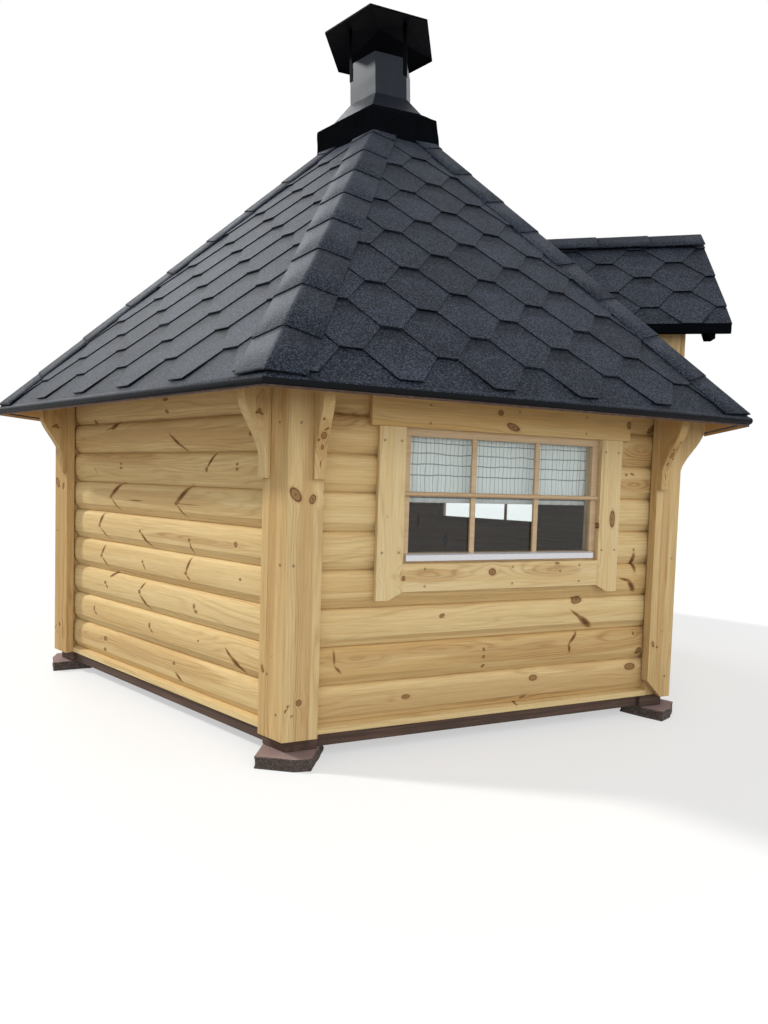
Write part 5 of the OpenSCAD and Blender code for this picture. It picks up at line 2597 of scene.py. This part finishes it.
    def build(self) -> None:
        """Builds the whole roof covering."""
        tree, tab = course_tree(), self.tab()
        phases = {
            Wall.LEFT_FRONT: 0.184, Wall.DOOR: 0.020, Wall.RIGHT_FRONT: -0.110,
            Wall.RIGHT_REAR: 0.150, Wall.REAR: 0.070, Wall.LEFT_REAR: 0.150,
        }
        for wall in Wall:
            bm = self.face(tree, tab, wall, phases[wall])
            if wall is Wall.DOOR:
                bm = self.split_round_dormer(bm)
            piece = mesh_object(f"shingles_{wall.name.lower()}", bm)
            seat(piece, self.finishes.shingle)
        for side, name in ((-1, "left"), (1, "right")):
            piece = mesh_object(f"dormer_shingles_{name}", self.dormer(tree, tab, side))
            seat(piece, self.finishes.shingle)
        drop(tab)
        self.caps()
        self.decks()
        self.edging()
        LOG.info("roof covering: 20 pieces")


@dataclass
class Flue(Assembly):
    """The felt collar, the sheet-metal stem and its cap."""

    collar_round: float = 0.020
    fold_depth: float = 0.004
    fold_edge: float = 0.03
    fold_coarse: float = 16.0
    fold_fine: float = 38.0

    def build(self) -> None:
        """Builds the three pieces."""
        self.collar()
        # The cap takes the near-black copy of the enamel, which paints the shade on its underside.
        for name, material in (("stem", self.finishes.flue), ("cap", self.finishes.soot)):
            piece = mesh_object(f"flue_{name}", node_mesh(f"flue_{name}"))
            bevelled(piece, 0.0008, 3)
            smooth_by_angle(piece, 28)
            seat(piece, material, [f"flue_{name}"])
        LOG.info("flue: 3 pieces")

    def collar(self) -> None:
        """Builds the collar, whose felt is dressed down in soft folds."""
        bm = node_mesh("smoke_collar")
        round_edges(bm, self.collar_round, 4, 20)
        bmesh.ops.triangulate(bm, faces=bm.faces[:])
        for _ in range(3):
            long = [e for e in bm.edges if e.calc_length() > self.fold_edge]
            bmesh.ops.subdivide_edges(bm, edges=long, cuts=1)
            bmesh.ops.triangulate(bm, faces=[f for f in bm.faces if len(f.verts) > 3])
        bm.normal_update()
        moves = []
        for v in bm.verts:
            coarse, fine = (noise.noise(v.co * k) for k in (self.fold_coarse, self.fold_fine))
            moves.append((v, v.normal * (coarse * 0.6 + fine * 0.4 - 0.2)))
        for v, move in moves:
            v.co += move * self.fold_depth
        fix_normals(bm)
        piece = mesh_object("collar", bm)
        smooth_by_angle(piece, 50)
        seat(piece, self.finishes.felt, ["smoke_collar"])


@dataclass
class Base(Assembly):
    """Broken slabs, the stained base timbers and the floor."""

    stone_h: float = 0.042
    near: int = 5
    near_slab: tuple[Point2, ...] = (
        (-90, 1645), (49, 1644), (100, 1624), (101, 1540),
        (98, 1452), (-60, 1448), (-99, 1500), (-95, 1551),
    )
    slab: tuple[Point2, ...] = (
        (-98, 1643), (-20, 1645), (98, 1640), (99, 1545),
        (97, 1447), (10, 1446), (-97, 1449), (-99, 1540),
    )
    slab_out: float = 1545
    chip: float = 0.007
    chip_top: float = 0.0012
    sound: float = 0.07

    def outline(self, number: int) -> list[Point2]:
        """A slab's corners, across and outwards from the middle of the plan.

        Args:
            number: The slab's number.

        Returns:
            The corners, in millimetres.
        """
        if number == self.near:
            return list(self.near_slab)
        rng = np.random.default_rng(100 + number)
        points = []
        for y, r in self.slab:
            y -= math.copysign(rng.uniform(0, 18), y)
            points.append((y, r - math.copysign(rng.uniform(0, 16), r - self.slab_out)))
        return points

    def stones(self) -> None:
        """Builds the six slabs with broken edges."""
        whole = bmesh.new()
        for wall in Wall:
            bm = bmesh.new()
            corners = [Vector((r * MM, y * MM, 0)) for y, r in self.outline(wall.value)]
            prism(bm, corners, Vector((0, 0, self.stone_h)))
            bmesh.ops.triangulate(bm, faces=[f for f in bm.faces if len(f.verts) > 4])
            bmesh.ops.subdivide_edges(bm, edges=bm.edges[:], cuts=3, use_grid_fill=True)
            rng = np.random.default_rng(7 + wall.value)
            for v in bm.verts:
                on_top = v.co.z > self.stone_h - MERGE
                inner = Vector((self.slab_out * MM - v.co.x, -v.co.y, 0))
                depth = rng.uniform(0, self.chip) * (0.2 if on_top or v.co.z < MERGE else 1.0)
                if inner.length > self.sound:
                    v.co += inner.normalized() * depth
                if on_top:
                    v.co.z -= rng.uniform(0, self.chip_top)
            fix_normals(bm)
            bm.transform(self.plan.local(wall) @ Matrix.Rotation(HALF_CORNER, 4, "Z"))
            take(whole, bm)
        piece = mesh_object("slabs", whole)
        bevelled(piece, 0.003, 1)
        seat(piece, self.finishes.stone, ["corner_stones"])

    def build(self) -> None:
        """Builds the base."""
        self.stones()
        piece = mesh_object("base_timbers", node_mesh("base_frame"))
        dress_wood(piece, self.plan, Grain.ALONG_WALL, seed=3)
        bevelled(piece, 0.003)
        smooth_by_angle(piece, 32)
        seat(piece, self.finishes.stained, ["base_frame"])
        piece = mesh_object("floor_boards", node_mesh("floor"))
        dress_wood(piece, self.plan, Grain.ALONG_WALL, seed=4)
        seat(piece, self.finishes.boards, ["floor"])
        LOG.info("base: 3 pieces")


@dataclass
class Porch(Assembly):
    """The gabled door surround with its boarded door."""

    edge: float = 0.002

    def copied(
        self, name: str, node: str, grain: Grain, material: Material, slot: str, seed: int
    ) -> None:
        """Builds a bevelled wooden piece in the shape of a CAD node.

        Args:
            name: The piece's name.
            node: The node.
            grain: Which way its grain runs.
            material: Its finish.
            slot: Not used.
            seed: Seed for its tones.
        """
        piece = mesh_object(name, node_mesh(node))
        dress_wood(piece, self.plan, grain, seed=seed)
        bevelled(piece, self.edge)
        smooth_by_angle(piece, 32)
        seat(piece, material, [node])

    def build(self) -> None:
        """Builds the porch."""
        f = self.finishes
        up, level, pine = Grain.UPRIGHT, Grain.ALONG_WALL, "pine_boards"
        self.copied("cheeks", "door_surround", up, f.boards, pine, 5)
        self.copied("threshold", "door_sill", level, f.stained, "dark_timber", 6)
        self.copied("door_jambs", "door_frame", up, f.trim, pine, 7)
        self.copied("gable_boards", "door_front", up, f.boards, pine, 8)
        self.copied("door", "door_leaf", up, f.trim, pine, 9)
        self.copied("dormer_edges", "dormer_trim", up, f.felt, pine, 10)
        piece = mesh_object("hinges_and_handle", node_mesh("door_fittings"))
        bevelled(piece, 0.0012)
        smooth_by_angle(piece, 32)
        seat(piece, f.iron, ["door_fittings"])
        LOG.info("porch: 7 pieces")


@dataclass
class Studio:
    """Camera, lamps, floor and backdrop."""

    position: Point3 = (0.580, -3.555, 0.941)
    yaw: float = -0.1534
    pitch: float = -0.0473
    roll: float = 0.0303
    lens: float = 22.082
    sensor: float = 36.0
    sun: Point3 = (-0.78, -0.02, 0.62)
    sun_strength: float = 2.4
    sun_size: float = math.radians(5)
    rim: Point3 = (-0.53, 0.60, 0.60)
    rim_strength: float = 0.65
    rim_size: float = math.radians(24)
    sky_low: float = 0.49
    sky_gain: float = 1.14
    sky_side: Point3 = (0.78, -0.62, 0.06)
    floor_bounce: float = 0.36
    floor_half: float = 40.0
    white: Colour = (0.9, 0.9, 0.9)

    def camera(self) -> None:
        """Makes the camera."""
        cy, sy = math.cos(self.yaw), math.sin(self.yaw)
        cp, sp = math.cos(self.pitch), math.sin(self.pitch)
        ahead = Vector((sy * cp, cy * cp, sp))
        right = Vector((cy, -sy, 0))
        up = right.cross(ahead)
        cr, sr = math.cos(self.roll), math.sin(self.roll)
        right, up = right * cr + up * sr, up * cr - right * sr
        data = bpy.data.cameras.new("camera")
        data.lens = self.lens
        data.sensor_width = self.sensor
        data.clip_end = 200
        camera = bpy.data.objects.new("camera", data)
        camera.matrix_world = (
            Matrix.Translation(self.position) @ Matrix((right, up, -ahead)).transposed().to_4x4()
        )
        bpy.context.scene.collection.objects.link(camera)
        bpy.context.scene.camera = camera

    def lamps(self) -> None:
        """Makes the lamps and the world."""
        for name, toward, strength, size, colour in (
            ("key", self.sun, self.sun_strength, self.sun_size, (1.0, 0.98, 0.92)),
            ("rim", self.rim, self.rim_strength, self.rim_size, (0.96, 0.98, 1.0)),
        ):
            data = bpy.data.lights.new(name, "SUN")
            data.energy = strength
            data.angle = size
            data.color = colour
            lamp = bpy.data.objects.new(name, data)
            lamp.matrix_world = Vector(toward).to_track_quat("Z", "Y").to_matrix().to_4x4()
            bpy.context.scene.collection.objects.link(lamp)
        world = bpy.data.worlds.new("studio")
        world.use_nodes = True
        bpy.context.scene.world = world
        n = Nodes(world.node_tree)
        light = world.node_tree.nodes["Background"]
        toward = n.add("ShaderNodeVectorMath", operation="DOT_PRODUCT")
        around = n.add("ShaderNodeTexCoord").outputs["Generated"]
        n.put(toward.inputs[0], around)
        n.put(toward.inputs[1], self.sky_side)
        _, _, height = n.parts(around)
        spread = n.smooth(toward.outputs["Value"], -0.2, 1.0)
        spread = n.times(spread, n.line(height, -1.15, 1.45))
        strength = n.line(spread, self.sky_gain, self.sky_low)
        n.fill(light, Color=(0.97, 0.99, 1.0), Strength=strength)
        seen = n.fill(n.add("ShaderNodeBackground"), Color=(1.0, 1.0, 1.0))
        end = world.node_tree.nodes["World Output"]
        n.blended(self.looked_at(n), light.outputs[0], seen.outputs[0], end)

    @staticmethod
    def looked_at(n: Nodes) -> Socket:
        """1 for rays from the camera, straight or through gloss and glass."""
        path = n.add("ShaderNodeLightPath")
        share = n.math("MAXIMUM", path.outputs["Is Camera Ray"], path.outputs["Is Glossy Ray"])
        return n.math("MAXIMUM", share, path.outputs["Is Transmission Ray"])

    def floor(self) -> None:
        """Makes the floor, which keeps a soft shadow."""
        bm = bmesh.new()
        h = self.floor_half
        bm.faces.new([bm.verts.new(c) for c in ((-h, -h, 0), (h, -h, 0), (h, h, 0), (-h, h, 0))])
        piece = mesh_object("studio_floor", bm)
        material, n, shader = new_material("studio_floor")
        bounce = (self.floor_bounce,) * 3
        seen = self.looked_at(n)
        colour = n.mix(seen, bounce, self.white)
        n.fill(shader, Base_Color=colour, Roughness=0.9, Specular_IOR_Level=0.1)
        glow = n.add("ShaderNodeEmission").outputs[0]
        end = material.node_tree.nodes["Material Output"]
        n.blended(n.times(seen, 0.5), shader.outputs[0], glow, end)
        piece.data.materials.append(material)

    def build(self) -> None:
        """Builds the studio."""
        self.camera()
        self.lamps()
        self.floor()
        bpy.context.scene.view_settings.view_transform = "Standard"
        LOG.info("studio: camera, lamps and floor")


def main() -> None:
    """Builds the cabin's looks."""
    logging.basicConfig(level=logging.INFO, format="%(name)s: %(message)s")
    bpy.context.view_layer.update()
    plan = Plan.from_frame()
    finishes = Finishes.make()
    Studio().build()
    LogWalls(plan, finishes).build()
    CornerPosts(plan, finishes).build()
    Brackets(plan, finishes).build()
    windows = Windows(plan, finishes)
    windows.build()
    Screws(plan, finishes, windows).build()
    ShingleRoof(plan, finishes).build()
    Flue(plan, finishes).build()
    Base(plan, finishes).build()
    Porch(plan, finishes).build()


if __name__ == "__main__":
    main()
